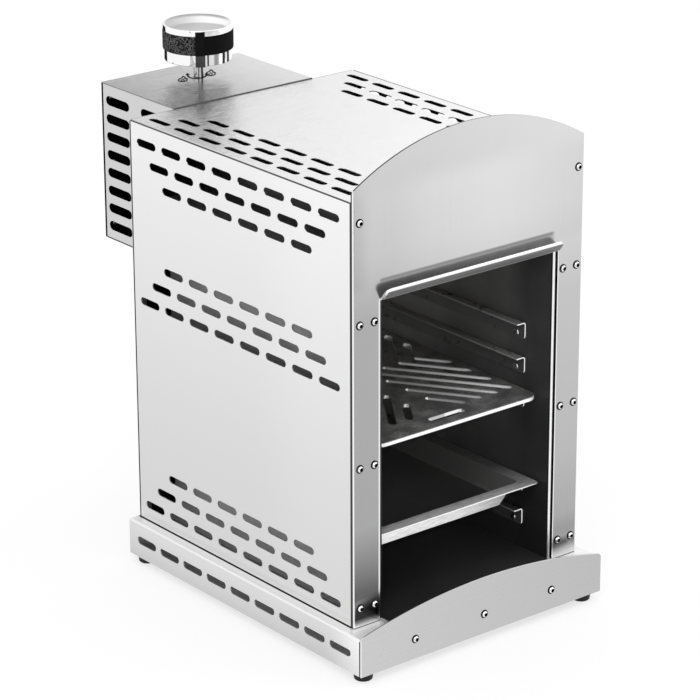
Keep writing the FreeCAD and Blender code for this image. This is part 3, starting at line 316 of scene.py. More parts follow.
# front panel: grey levels by height on the left and right are painted reflection and shade, and the glow above
# the mouth is painted light
frontPanel = dict(
    left=("z", ((0, 0.84), (2, 0.84), (4, 0.40), (8, 0.058), (14, 0.21), (20, 0.49), (26, 0.15), (32, 0.136),
        (60, 0.27), (90, 0.40), (270, 0.43), (330, 0.57), (421, 0.66))),
    right=("z", ((0, 0.72), (7, 0.45), (14, 0.18), (20, 0.36), (26, 0.335), (32, 0.36), (42, 0.42), (60, 0.44),
        (100, 0.50), (250, 0.57), (330, 0.71), (421, 0.75))), across=("x", -130, 130), glow=0.11,
    glowArea=(("z", 292, 306), ("z", 395, 370)),
    glowLoss=((0.17, ("x", 10, 130)), (0.07, ("x", -40, -95)), (0.16, ("x", -105, -126))),
    # a painted highlight along the jamb, and the mouth's cut edge painted black as shadow
    jambArea=("z", 288.5, 287.5), jambEdge=(99.6, 99.2), jambShift=0.5, jamb=0.97,
    slit=((0.01, (("z", 288.5, 287.5), ("wide", 98.15, 98.05), ("y", -3.4, -3.2))),), archArea=("z", 375.5, 377),
    # the arch's edge is painted dark as shade
    archFacing=(0.6, 0.3), arch=("x", ((-125, 0.02), (-45, 0.03), (-10, 0.14), (125, 0.20))),
    # a painted highlight on the side returns, and dark seams behind and below them
    marks=((0.97, ("wide", 125.3, 125.5)), (0.05, (("wide", 125.3, 125.5), ("y", -1.7, -1.3)), ("z", 0.9, 0.5))))
# flared lip: its back and underside are painted as shade, its edge is a painted highlight, and the panel above it
# gets the lip's painted shade and reflection
lip = dict(
    area=(("y", -3.6, -3.8), ("z", 280, 284)), facing=(0.7, 0.9), back=0.27, under=0.14, matt=0.75,
    edgeArea=(("z", 295.2, 295.8), ("x", -94.6, -95.3)), edge=0.98,
    shadeArea=(("z", 306.6, 304.4), ("z", 288, 290), ("x", 95.5, 89.5), ("x", -99.5, -96)),
    shade=("z", ((300, 0.44), (302, 0.43), (303.8, 0.30), (306, 0.215))))


def lipPaintedLight(steel, level):
    flared = steel.area(lip["area"])
    back = flared * steel.lean(0, 0.8, 0.6).rise(*lip["facing"])
    under = flared * steel.lean(0, -0.8, -0.6).rise(*lip["facing"])
    edge = steel.area(*lip["edgeArea"])
    level = steel.mix(steel.area(lip["shadeArea"]), level, steel.toned(lip["shade"]))
    level = steel.stroke(level, back, lip["back"])
    level = steel.stroke(level, under, lip["under"])
    return steel.stroke(level, flared * (1 - back) * edge, lip["edge"]), under * (1 - edge) * lip["matt"]


def frontPaintedLight(steel):
    part = frontPanel
    level = steel.mix(steel.area(part["across"]), steel.toned(part["left"]), steel.toned(part["right"]))
    glow = part["glow"]
    for loss, span in part["glowLoss"]:
        glow = glow - loss * steel.area(span)
    level = steel.times(level, 1 + steel.area(part["glowArea"]) * glow)
    level, matt = lipPaintedLight(steel, level)
    across = steel.along("wide") + steel.along("x").rise(-1, 1) * part["jambShift"]
    level = steel.stroke(level, steel.area(part["jambArea"]) * across.rise(*part["jambEdge"]), part["jamb"])
    level = steel.strokes(level, part["slit"])
    rim = abs(steel.lean(0, 1, 0)).rise(*part["archFacing"]) * steel.area(part["archArea"])
    level = steel.mix(rim, level, steel.toned(part["arch"]))
    return steel.strokes(level, part["marks"]), matt


# base: the skirt's grey levels by height are painted shade, lighter towards the front as painted light, the deck
# is painted light as a lit top face, the inner faces get one matt grey, and the seams are dark lines
baseTray = dict(
    deck=0.90, deckArea=("z", -2.0, -0.2), deckMatt=0.6, inside=0.42, matt=0.7,
    skirt=("z", ((-34, 0.58), (-20, 0.66), (-4, 0.72))), corner=0.32, cornerFrom=("y", 45, -26),
    skin=(("wide", 135.5, 135.8), ("z", -0.9, -0.6), ("y", -23.3, -23.6), ("y", 307.2, 307.5)),
    contact=(("z", -0.6, -0.3), ("wide", 127.1, 126.8), ("y", -0.5, 0.5)), apronSeam=("y", -22.6, -22.9),
    seam=0.06)


def basePaintedLight(steel):
    part = baseTray
    skin = steel.area(*part["skin"])
    deck = steel.area(part["deckArea"])
    contact = steel.area(part["contact"])  # where the cabinet stands on the deck
    skirt = steel.times(steel.toned(part["skirt"]), 1 + part["corner"] * steel.area(part["cornerFrom"]) ** 2)
    level = steel.mix(deck, skirt, grey(part["deck"]))
    level = steel.stroke(level, contact.most(steel.area(part["apronSeam"])), part["seam"])
    matt = (deck * part["deckMatt"] * (1 - contact)).most((1 - skin) * part["matt"])
    return steel.mix(skin, grey(part["inside"]), level), matt


# chamber

soot = dict(
    cloud=26.0, speck=1.2, speckDepth=0.03, least=0.75, spread=0.5, metallic=0.25, roughSpread=0.25,
    roundNormal=(-0.55, -0.77, 0.33))


def sootyShadedSteel(name, tint, roughness, rounded=False):
    steel = Finish(name)
    cloud = steel.noise(soot["cloud"], 4.0, 0.6)
    speck = steel.noise(soot["speck"], 2.0)
    # the shading's grey levels are painted light and shade, and the cloud varies them at random as soot
    level, bright = tint(steel)
    shade = soot["least"] + soot["spread"] * cloud
    rough = steel.bump(speck, soot["speckDepth"])
    if rounded:  # a cut end that is round from side to side
        rough = steel.add("ShaderNodeMix", {"data_type": "VECTOR"},
                          {0: bright, 4: rough, 5: soot["roundNormal"]}, output=1)
    steel.give(baseColor=steel.times(level, shade), metallic=soot["metallic"] + (1 - soot["metallic"]) * bright,
               roughness=roughness + soot["roughSpread"] * (cloud - 0.5), normal=rough)
    return steel.material


# chamber walls: grey levels, lighter deeper in and higher up, are painted light and shade
liner = dict(
    depth=("y", ((0, 0.055), (30, 0.065), (40, 0.09), (60, 0.15), (120, 0.21), (150, 0.33), (180, 0.45),
        (220, 0.58), (292, 0.45))),
    height=("z", ((0, 0.38), (50, 0.42), (90, 0.62), (130, 0.66), (165, 0.80), (195, 1.0), (285, 1.0))),
    # outer faces seen through the side slots: painted light below, a painted pool of light from 214 to 232 mm,
    # and dark above as shade
    outside=("z", ((0, 0.85), (70, 0.62), (180, 0.45), (214, 0.75), (232, 0.75), (240, 0.10), (300, 0.06))),
    # the front flange is painted black as shadow, with a painted highlight strip on the right one
    outsideArea=(("wide", 94.4, 94.7), ("y", 291.4, 291.8)), bend=0.01, bendArea=("y", 0.3, -0.1), shine=0.97,
    shineArea=(("y", 0.3, -0.1), ("x", 94.3, 94.6), ("x", 96.5, 96.2)), shineShare=0.9)
# chamber floor: painted light and shade, darkest at the front and lighter to the right, with a mid grey beyond
# the liner walls
floorPlate = dict(
    levels=("y", ((-25, 0.035), (40, 0.034), (70, 0.063), (100, 0.10), (290, 0.06))), left=0.75, gain=0.4,
    across=("x", -80, 60), edge=("wide", 94.6, 95.2), beside=0.5)
ceiling = dict(levels=0.13)
# shelf rails: grey levels darker near the mouth are painted shade, the top faces are painted lighter as lit, the
# flange edge is a painted highlight, and the cut ends facing the front are painted white as glints
rail = dict(
    dark=("y", ((30, 0.09), (60, 0.13), (120, 0.19), (180, 0.30), (290, 0.40))),
    upper=("y", ((30, 0.34), (60, 0.27), (110, 0.22), (290, 0.40))), upperArea=("z", 60, 150),
    topFacing=(0.8, 0.95), cutFacing=(0.55, 0.85), cut=1.0, rimAt=84.3, rimWithin=(0.9, 0.3), rim=0.6,
    rimShare=0.5)


def linerPaintedLight(steel):
    wall = steel.times(steel.toned(liner["depth"]), steel.toned(liner["height"]))
    level = steel.mix(steel.area(*liner["outsideArea"]), wall, steel.toned(liner["outside"]))
    shine = steel.area(liner["shineArea"])
    level = steel.stroke(level, steel.area(liner["bendArea"]), liner["bend"])
    return steel.stroke(level, shine, liner["shine"]), shine * liner["shineShare"]


def floorPaintedLight(steel):
    part = floorPlate
    plate = steel.times(steel.toned(part["levels"]), part["left"] + part["gain"] * steel.area(part["across"]))
    return steel.mix(steel.area(part["edge"]), plate, grey(part["beside"])), 0.0


def railPaintedLight(steel):
    cut = steel.lean(0, -1, 0).rise(*rail["cutFacing"])
    rim = abs(steel.along("wide") - rail["rimAt"]).rise(*rail["rimWithin"])
    top = steel.lean(0, 0, 1).rise(*rail["topFacing"]) * steel.area(rail["upperArea"])
    level = steel.mix(top, steel.toned(rail["dark"]), steel.toned(rail["upper"]))
    level = steel.mix(rim * rail["rimShare"], level, grey(rail["rim"]))
    return steel.mix(cut, level, grey(rail["cut"])), cut


# grate: the dark and light tones follow random mottle plus a painted sheen at the front right and towards the
# back
grate = dict(
    patch=22.0, grain=2.2, patchShare=0.7, worn=(0.40, 0.78), dark=0.15, light=0.50, sheen=0.06,
    sheenArea=(("x", 15, 60), ("y", 26, 38), ("y", 85, 50)), rearSheen=0.10, rearArea=("y", 60, 220),
    # the slot walls get painted light and shade, and the front edge and lug faces a painted highlight
    upright=(0.95, 0.6), right=("x", -2, 2), wall=("x", ((-5, 0.15), (30, 0.28), (85, 0.75))), wallTop=0.4,
    wallGain=1.1, wallLow=("z", 152.7, 151.8), shade=0.02, shadeFacing=(0.8, 0.95), glint=0.98,
    glintLeft=(0.7, 0.85), glintRight=(0.78, 0.9), frontSlot=("y", 31, 28), frontFacing=(0.6, 0.8), edge=0.95,
    edgeArea=("y", 11.2, 9.9), lugArea=(("wide", 79, 81), ("y", 23, 20)))


def grateWall(steel):  # painted light and shade on the slots' cut walls: a painted glint on walls facing one way, painted shade on walls facing another, and lighter lower down
    right = steel.area(grate["right"])
    left = 1 - right
    shade = left * steel.lean(0.565, -0.825, 0).rise(*grate["shadeFacing"])
    glint = left * steel.lean(-0.825, -0.565, 0).rise(*grate["glintLeft"])
    glint = glint + right * steel.lean(0.15, -0.99, 0).rise(*grate["glintRight"])
    glint = glint.most(steel.area(grate["frontSlot"]) * steel.lean(0, -1, 0).rise(*grate["frontFacing"]))
    depth = grate["wallTop"] + grate["wallGain"] * steel.area(grate["wallLow"])
    cut = steel.stroke(steel.times(steel.toned(grate["wall"]), depth), shade, grate["shade"])
    return steel.stroke(cut, glint, grate["glint"])


def grateSteel():
    steel = Finish("grateSteel")
    patch = steel.noise(grate["patch"], 5.0, 0.65)
    grain = steel.noise(grate["grain"], 3.0, 0.6)
    sheen = steel.area(grate["sheenArea"]) * grate["sheen"] + steel.area(grate["rearArea"]) * grate["rearSheen"]
    worn = (patch * grate["patchShare"] + grain * (1 - grate["patchShare"]) + sheen).rise(*grate["worn"])
    upright = abs(steel.lean(0, 0, 1)).rise(*grate["upright"])
    tone = steel.mix(worn, grey(grate["dark"]), grey(grate["light"]))
    tone = steel.mix(upright, tone, grateWall(steel))
    # painted highlight on the front edge and the lug faces
    rim = steel.area(grate["edgeArea"]).most(steel.area(grate["lugArea"]) * upright)
    steel.give(baseColor=steel.stroke(tone, rim, grate["edge"]), metallic=0.5 - 0.4 * upright,
               roughness=0.42 - 0.18 * worn - 0.12 * rim, normal=steel.bump(grain, 0.05, steel.bump(patch, 0.25)))
    return steel.material


# drip tray: the rim's grey levels, lightest at the front, are painted light, with a painted highlight on its
# front edge, and the front wall below is painted lighter to the left
tray = dict(
    patch=30.0, line=(9.0, 1.3, 1.3), low=("z", 70.9, 70.5), side=0.33, sideFacing=(0.5, 0.8),
    inner=(("z", 71.6, 70.9), ("y", 19.2, 20.8), ("wide", 80.9, 80.0), ("y", 279.4, 278.6)),
    # the basin is painted dark towards the front as shade, and its walls facing left are painted lighter as lit
    basin=("y", ((20, 0.04), (35, 0.055), (60, 0.10), (100, 0.18), (290, 0.22))),
    rim=("y", ((9, 1.0), (14, 0.95), (20, 0.72), (60, 0.33), (290, 0.18))), edge=((0.97, ("y", 9.4, 8.9)),),
    fold=("x", ((-92, 0.92), (-80, 0.80), (-60, 0.70), (0, 0.66), (20, 0.54), (35, 0.40), (56, 0.25))),
    foldArea=(("y", 9.9, 9.6), ("z", 70.9, 70.5)), wall=0.6)


def traySteel():
    steel = Finish("traySteel")
    patch = steel.noise(tray["patch"], 4.0, 0.6)
    line = steel.noise(tray["line"], 3.0, 0.7)
    low = steel.area(tray["low"])
    inner = steel.area(tray["inner"])
    skin = steel.strokes(steel.times(steel.toned(tray["rim"]), 0.3 + 1.4 * line), tray["edge"])
    fold = steel.times(steel.toned(tray["fold"]), 0.4 + 1.0 * line + 0.2 * patch)
    fold = steel.mix(steel.area(tray["foldArea"]), grey(tray["wall"]), fold)
    side = steel.lean(-0.9, 0, 0.4).rise(*tray["sideFacing"])
    basin = steel.stroke(steel.toned(tray["basin"]), side, tray["side"])
    matt = (1 - inner) * low
    steel.give(baseColor=steel.mix(inner, steel.mix(low, skin, fold), basin), metallic=0.7 - 0.65 * matt,
               roughness=0.3 + 0.15 * patch + 0.15 * matt, normal=steel.bump(line, 0.01, steel.bump(patch, 0.12)))
    return steel.material


# small and inner parts

def speckled(name, size, first, second, roughness, spread=0.1, **more):
    paint = Finish(name)
    speck = paint.noise(size)
    paint.give(baseColor=paint.mix(speck, grey(first), grey(second)), roughness=roughness + spread * speck,
               normal=paint.bump(speck, 0.01), **more)
    return paint.material


def clouded(name, colour, share, roughness, cloudSize, grain, depth, detail=2.0, spread=0.1, **more):
    paint = Finish(name)
    cloud = paint.noise(cloudSize, 3.0)
    other = tuple(c * share for c in colour[:3]) + (1.0,)
    paint.give(baseColor=paint.mix(cloud, colour, other), roughness=roughness + spread * (cloud - 0.5),
               normal=paint.bump(paint.noise(grain, detail), depth), **more)
    return paint.material


def plainMetal(name, colour, roughness, dull=0.85):
    return clouded(name, colour, dull, roughness, 18.0, 0.8, 0.015, metallic=1.0)


ceramic = dict(
    pitch=1.5, pale=(0.78, 0.68, 0.55, 1.0), toasted=(0.55, 0.42, 0.31, 1.0), cloud=25.0, hole=0.02,
    holeDepth=0.4, wire=("y", 273.6, 272.6))


def burnerCeramic():
    clay = Finish("burnerCeramic")
    step = 2 * math.pi / ceramic["pitch"]
    holes = ((clay.along("x") * step).wave() * (clay.along("y") * step).wave()).rise(0.35, 0.6)
    cloud = clay.noise(ceramic["cloud"], 3.0)
    body = clay.mix(cloud, ceramic["pale"], ceramic["toasted"])
    # the holes are painted nearly black as the shade inside them
    clay.give(baseColor=clay.mix(holes, body, grey(ceramic["hole"])), roughness=0.8 + 0.1 * cloud,
              normal=clay.bump(1 - holes, ceramic["holeDepth"]))
    return clay.material


def probeCeramic():
    clay = Finish("probeCeramic")
    wire = clay.area(ceramic["wire"])  # before the sleeve's front end
    speck = clay.noise(3.0, 3.0)
    sleeve = clay.mix(speck, grey(0.80, 0.02), grey(0.62, 0.05))
    clay.give(baseColor=clay.mix(wire, sleeve, grey(0.35, 0.08)), metallic=wire,
              roughness=0.35 + 0.2 * speck, normal=clay.bump(speck, 0.05))
    return clay.material


def leadSleeve():
    weave = Finish("leadSleeve")
    x, y, z = (weave.along(axis) for axis in "xyz")
    thread = ((x + y + z) * 5.0).wave() * ((x - y + z) * 5.0).wave()
    weave.give(baseColor=weave.mix(thread.rise(-0.4, 0.6), grey(0.45, 0.04), grey(0.75, 0.03)), roughness=0.75,
               normal=weave.bump(thread, 0.12))
    return weave.material


# knob and stem: from the front left, "across" runs over them from left to right and "ahead" to the far side

knob = dict(
    y=373.0, bottom=393.4, seat=403.8, roof=417.6, gripTop=421.2, top=426.6, skirt=30.6, stem=4.5, around=62,
    rows=6, valley=31.6, peak=32.15, ahead=(0.63, 0.777), grip=0.003)
# chrome knob: these greys are painted reflections: the rim light at the front and dark at the back, the bowl's
# walls and floor, and the skirt's pale grey with a soft band and dark bars
chromeLevels = dict(
    rimFront=0.97, rimBack=0.20, rimTurn=(4, 26), crownBelow=0.4, dishBelow=(-7.3, -6.9),
    dishWithin=(30.3, 29.9), floor=0.46, floorWithin=(26.8, 24.8), floorLean=0.14, wallLeft=0.55, wallRight=0.93,
    wallAcross=(-0.85, 0.4), wallBack=0.40, wallBackOut=(27.6, 29.2), wallBackAhead=(0, 24), skirt=0.95,
    soft=0.35, softFrom=(0.47, 0.54), softTo=(0.70, 0.60), bar=0.02,
    bars=((0.725, 0.745, 0.82, 0.80), (0.855, 0.87, 0.93, 0.915)), middleBar=0.33, middleWithin=(0.03, 0.015))
# valve stem: the dark bars and the dark left edge are painted reflections, and the pale and dull tones vary at
# random
stemLevels = dict(
    pale=0.92, dull=0.80, bars=((0.05, 0.16, 0.06, 0.12), (0.72, 0.24, 0.12, 0.01)), edge=(-0.82, -0.92),
    edgeDark=0.05)


def knobSpot(finish):  # distance from the knob's axis, across and ahead, in mm
    x, y = finish.along("x"), finish.along("y") - knob["y"]
    side, depth = knob["ahead"]
    return (x * x + y * y) ** 0.5, x * depth - y * side, x * side + y * depth


def knurledRubber():
    rubber = Finish("knobRubber")
    radius, across = knobSpot(rubber)[:2]
    pore = rubber.noise(0.5, 3.0)
    # painted sheen: the knurl's peaks lighter on the left, lit side, blotched by noise
    worn = radius.rise(31.2, 31.5) * (across / knob["skirt"]).rise(0.1, -0.15)
    worn = worn * rubber.noise(1.8, 1.0).rise(0.40, 0.62)
    rubber.give(baseColor=rubber.mix(worn, grey(knob["grip"]), grey(0.10)), roughness=0.5 + 0.1 * pore,
                specular=0.08, normal=rubber.bump(pore, 0.03))
    return rubber.material


def pointerPlastic():
    plastic = Finish("knobBlack")
    pore = plastic.noise(1.5, 2.0)
    # painted light: the bar is lighter below the seat, where it runs down the skirt, and black above it
    low = plastic.area(("z", knob["seat"] + 0.5, knob["seat"] - 0.5))
    tone = plastic.mix(low, grey(knob["grip"]), plastic.mix(pore, grey(0.03), grey(0.08)))
    plastic.give(baseColor=tone, roughness=0.5 + 0.1 * pore, specular=0.06, normal=plastic.bump(pore, 0.02))
    return plastic.material


def knobChrome():
    chrome = Finish("knobChrome")
    levels = chromeLevels
    radius, across, ahead = knobSpot(chrome)
    across = across / knob["skirt"]
    crown = chrome.area(("z", knob["gripTop"] - levels["crownBelow"], knob["gripTop"]))
    dish = chrome.area(("z", *(knob["top"] + drop for drop in levels["dishBelow"])))
    dish = dish * radius.rise(*levels["dishWithin"])
    floor = dish * (radius + levels["floorLean"] * ahead).rise(*levels["floorWithin"])
    ring = (radius * 14.0).wave() * 0.5 + 0.5
    haze = chrome.noise(30.0, 2.0)
    # painted reflections on the rim, the bowl and the skirt
    rim = chrome.mix(ahead.rise(*levels["rimTurn"]), grey(levels["rimFront"]), grey(levels["rimBack"]))
    bowl = chrome.mix(across.rise(*levels["wallAcross"]), grey(levels["wallLeft"]), grey(levels["wallRight"]))
    bowl = chrome.stroke(bowl, floor * (0.8 + 0.2 * haze), levels["floor"])
    back = radius.rise(*levels["wallBackOut"]) * ahead.rise(*levels["wallBackAhead"])
    bowl = chrome.stroke(bowl, back, levels["wallBack"])
    soft = across.rise(*levels["softFrom"]) * across.rise(*levels["softTo"])
    shell = chrome.stroke(grey(levels["skirt"]), soft, levels["soft"])
    bars = abs(across - levels["middleBar"]).rise(*levels["middleWithin"])
    for start, full, fade, end in levels["bars"]:
        bars = bars.most(across.rise(start, full) * across.rise(fade, end))
    shell = chrome.mix(crown, chrome.stroke(shell, bars, levels["bar"]), rim)
    chrome.give(baseColor=chrome.mix(dish, shell, bowl), metallic=1 - 0.5 * dish,
                roughness=0.05 + 0.03 * haze + dish * (0.2 + 0.05 * ring), normal=chrome.bump(ring * dish, 0.004))
    return chrome.material


def stemSteel():
    steel = Finish("stemSteel")
    across = knobSpot(steel)[1] / knob["stem"]
    ring = (steel.along("z") * 16.0).wave()
    mark = steel.noise(4.0, 2.0)
    tone = steel.mix(mark, grey(stemLevels["pale"]), grey(stemLevels["dull"]))
    # painted reflections as dark bars
    for middle, fade, full, level in stemLevels["bars"]:
        tone = steel.stroke(tone, abs(across - middle).rise(fade, full), level)
    tone = steel.stroke(tone, across.rise(*stemLevels["edge"]), stemLevels["edgeDark"])
    steel.give(baseColor=tone, metallic=1.0, roughness=0.1 + 0.1 * mark, normal=steel.bump(ring, 0.003))
    return steel.material


finishes = dict(
    side=brushedSteel("sideSteel", "y", panelShading(sidePanel, sidePaintedShade), 0.2, 0.015),
    front=brushedSteel("frontSteel", "z", frontPaintedLight, 0.22),
    top=brushedSteel("topSteel", "x", panelShading(topPanel, topPaintedShade), 0.12, 0.02, 0.16),
    roof=brushedSteel("roofSteel", "x", panelShading(rearRoof), 0.10, 0.02, 0.16),
    base=brushedSteel("baseSteel", "y", basePaintedLight, 0.24),
    apron=brushedSteel("apronSteel", "x", panelShading(apronPlate), 0.28, 0.015),
    rear=brushedSteel("rearSteel", "y", panelShading(rearBox), 0.24),
    back=brushedSteel("backSteel", "z", panelShading(backPanel), 0.28),
    rearBack=brushedSteel("rearBackSteel", "z", rearBackPaintedShade, 0.34, 0.015, 0.002),
    liner=sootyShadedSteel("linerSteel", linerPaintedLight, 0.4),
    floor=sootyShadedSteel("floorSteel", floorPaintedLight, 0.35),
    ceiling=sootyShadedSteel("ceilingSteel", panelShading(ceiling), 0.45),
    rail=sootyShadedSteel("railSteel", railPaintedLight, 0.3, True),
    grate=grateSteel(),
    tray=traySteel(),
    fastener=speckled("fastenerSteel", 0.5, 0.80, 0.95, 0.16, 0.08, metallic=1.0),
    # the outer rim of each screw head is painted black as its shadow ring, and the socket painted black as the
    # shade inside it
    ring=speckled("fastenerRingShadow", 0.6, 0.004, 0.008, 0.5, metallic=0.2, specular=0.1),
    socket=speckled("fastenerSocketShade", 0.6, 0.003, 0.006, 0.5, metallic=0.2, specular=0.1),
    foot=clouded("footRubber", grey(0.006), 1.8, 0.55, 9.0, 0.7, 0.05, 3.0, 0.15, specular=0.25),
    tile=burnerCeramic(),
    burner=plainMetal("burnerSteel", grey(0.50), 0.35, 0.6),
    probe=probeCeramic(),
    brass=plainMetal("valveBrass", (0.42, 0.31, 0.15, 1.0), 0.38, 0.7),
    inlet=plainMetal("inletBrass", (0.74, 0.58, 0.30, 1.0), 0.22),
    pipe=plainMetal("pipeMetal", (0.85, 0.82, 0.78, 1.0), 0.18),
    bracket=plainMetal("bracketSteel", grey(0.62), 0.3),
    lead=leadSleeve(),
    stem=stemSteel(),
    chrome=knobChrome(),
    grip=knurledRubber(),
    pointer=pointerPlastic(),
    ink=speckled("printInk", 0.6, 0.002, 0.008, 0.5, specular=0.05),
)
print("finishes", len(finishes))


# mesh helpers

def linked(bm, name):  # the built mesh as an object
    mesh = bpy.data.meshes.new(name)
    bm.to_mesh(mesh)
    bm.free()
    thing = bpy.data.objects.new(name, mesh)
    bpy.context.scene.collection.objects.link(thing)
    return thing


def seal(bm, name, finish, body, replaced=(), sharp=38.0, weighted=True, flat=False):
    bmesh.ops.recalc_face_normals(bm, faces=bm.faces)
    piece = linked(bm, name)
    mesh = piece.data
    mesh.shade_smooth()
    mesh.set_sharp_from_angle(angle=math.radians(sharp))
    if flat:  # faces square to an axis stay flat, whatever their corners do
        for face in mesh.polygons:
            face.use_smooth = max(abs(part) for part in face.normal) < 0.9999
    for key in finish.split():
        mesh.materials.append(finishes[key])
    if weighted:
        lean = piece.modifiers.new("lean", "WEIGHTED_NORMAL")
        lean.keep_sharp = True
    if replaced:
        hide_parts(*replaced)
    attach(piece, body)
    return piece


def wallEdges(bm, low, high):  # edges whose faces meet at an angle in a range
    return [edge for edge in bm.edges if low < math.degrees(edge.calc_face_angle(0.0)) < high]


# distances in mm and angles in degrees: a punched corner is a short upright edge, a cut edge is about square
edges = dict(weld=0.02, flat=0.4, corner=(30, 60), cornerLength=3.5, cut=(62, 130), sharp=38.0)


def rounded(bm, chosen, size, segments):
    bmesh.ops.bevel(bm, geom=chosen, offset=size * mm, segments=segments, profile=0.5, affect="EDGES",
                    clamp_overlap=True)


def softened(node, name, finish, slot, rim, corner=0.0):
    # the node's own form, with its punched corners rounded and its cut edges broken
    bm = bmesh.new()
    bm.from_mesh(nodes[node].data)
    bmesh.ops.remove_doubles(bm, verts=bm.verts, dist=edges["weld"] * mm)
    bmesh.ops.dissolve_limit(bm, angle_limit=math.radians(edges["flat"]), verts=bm.verts, edges=bm.edges)
    if corner:
        short = [e for e in wallEdges(bm, *edges["corner"]) if e.calc_length() < edges["cornerLength"] * mm]
        rounded(bm, short, corner, 3)
    rounded(bm, wallEdges(bm, *edges["cut"]), rim, 2)
    return seal(bm, name, finish, nodes[node]["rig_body"], (node,), edges["sharp"], False, True)


def addRing(bm, matrix, height, segments, reachAt):  # reachAt gives the radius at a step and its angle
    ring = []
    for step in range(segments):
        angle = 2 * math.pi * step / segments
        reach = reachAt(step, angle)
        ring.append(bm.verts.new(matrix @ Vector((reach * math.cos(angle), reach * math.sin(angle), height))))
    return ring


def joinRings(bm, rings):
    for lower, upper in zip(rings, rings[1:]):
        for step in range(len(lower)):
            ahead = (step + 1) % len(lower)
            bm.faces.new((lower[step], lower[ahead], upper[ahead], upper[step]))


def ringReach(radius, sides, angle):  # a circle, or a polygon about it
    part = 2 * math.pi / sides if sides else 0
    return radius / math.cos(angle % part - part / 2) if sides else radius


def addTurned(bm, profile, matrix, segments, shades=()):
    # profile of (radius, height) or (radius, height, sides), in mm, and each band's place in the materials
    rings = []
    for radius, height, *form in profile:
        if radius == 0:
            rings.append([bm.verts.new(matrix @ Vector((0, 0, height)))])
            continue
        sides = form[0] if form else 0
        rings.append(addRing(bm, matrix, height, segments, lambda step, angle: ringReach(radius, sides, angle)))
    for band, (lower, upper) in enumerate(zip(rings, rings[1:])):
        for step in range(max(len(lower), len(upper))):
            corners = []
            for ring, index in ((lower, step), (lower, step + 1), (upper, step + 1), (upper, step)):
                vert = ring[index % len(ring)]
                if vert not in corners:
                    corners.append(vert)
            face = bm.faces.new(corners)
            if shades:
                face.material_index = shades[band]


# steel work

sheets = dict(  # piece, finish, slot, and the broken edge and rounded corner in mm
    side_panel_left=("left_side_skin", "side", "outer_steel", 0.22, 1.15),
    rear_box_side_left=("left_rear_skin", "rear", "outer_steel", 0.22, 1.4),
    shelf_rails_left=("left_rails", "rail", "rail_steel", 0.4),
    side_panel_right=("right_side_skin", "side", "outer_steel", 0.22, 1.15),
    rear_box_side_right=("right_rear_skin", "rear", "outer_steel", 0.22, 1.4),
    shelf_rails_right=("right_rails", "rail", "rail_steel", 0.4),
    top_panel=("lid_skin", "top", "outer_steel", 0.22, 1.15),
    front_panel=("front_skin", "front", "outer_steel", 0.25),
    base_tray=("base_skin", "base", "outer_steel", 0.22, 1.2),
    base_front_plate=("apron_skin", "apron", "outer_steel", 0.3),
    rear_box_roof=("rear_roof_skin", "roof", "outer_steel", 0.15),
    grate=("grate_plate", "grate", "grate_steel", 0.45, 1.1),
    drip_tray=("tray_pressing", "tray", "tray_steel", 0.2),
)
for node, values in sheets.items():
    softened(node, *values)
print("steel work softened")


# screws, rivets and feet

screw = dict(
    shank=((0, -7.6), (1.52, -7.6), (1.9, -7.1), (1.9, 0)),
    flange=((3.8, 0), (3.8, 0.3), (3.68, 0.42), (2.9, 0.62)),
    dome=((2.8, 0.8), (2.716, 1.15), (2.464, 1.6), (2.128, 1.95), (1.792, 2.13), (1.75, 2.2)),
    socket=((1.57, 2.2, 6), (1.45, 2.08, 6), (1.45, 0.7, 6), (0, 0.4)),
    # the flange band takes the ring's painted shadow, and the socket bands the socket's painted shade
    shades=[0] * 4 + [1] * 4 + [0] * 5 + [2] * 4, segments=36, sharp=50.0,
    outerRows=(119.5, (17.5, 144, 270, 357.5)), innerRows=(104, (17.5, 144, 270)), front=-3.5,
    rearRows=(71.95, (242.7, 302.25, 361.8)), rear=416.1, apronRow=(-77.5, 0, 77.5), apron=(-25.8, -15.2),
    underFoot=-37.6)


def screws(name, node, places, axis):
    profile = screw["shank"] + screw["flange"] + screw["dome"] + screw["socket"]
    bm = bmesh.new()
    for place in places:
        spin = Matrix.Rotation(dice.uniform(0, math.pi / 3), 4, "Z")
        addTurned(bm, profile, facing(at(*place), axis) @ spin, screw["segments"], screw["shades"])
    return seal(bm, name, "fastener ring socket", "cabinet", (node,), screw["sharp"])


def bothSides(y, *rows):
    return [(side * x, y, z) for side in (-1, 1) for x, levels in rows for z in levels]


foot = dict(
    places=[(side * 124.6, y) for side in (-1, 1) for y in (-13.8, 296.2)], segments=40,
    profile=((2.1, -33.6), (8.6, -33.6), (8.6, -34.6), (8.15, -39.6), (7.9, -40.9), (7.3, -41.5), (7.0, -41.6),
        (4.9, -41.6), (4.4, -41.3), (4.4, -37.6), (2.1, -37.6), (2.1, -33.6)))
rivet = dict(
    profile=((0, 0), (3.2, 0), (3.15, 0.3), (2.8, 0.7), (2.1, 1.02), (1.1, 1.18), (0, 1.2)), drop=11.5,
    wall=92.8, tops=(38.9, 70.7, 150.1, 181.9, 213.7), ends=(42.0, 270.0), segments=20)

screws("front_screw_set", "front_panel_screws",
       bothSides(screw["front"], screw["outerRows"], screw["innerRows"]), (0, -1, 0))
screws("apron_screw_set", "apron_screws", [(x, *screw["apron"]) for x in screw["apronRow"]], (0, -1, 0))
screws("rear_screw_set", "rear_box_screws", bothSides(screw["rear"], screw["rearRows"]), (0, 1, 0))
screws("foot_screw_set", "foot_screws", [(x, y, screw["underFoot"]) for x, y in foot["places"]], (0, 0, -1))

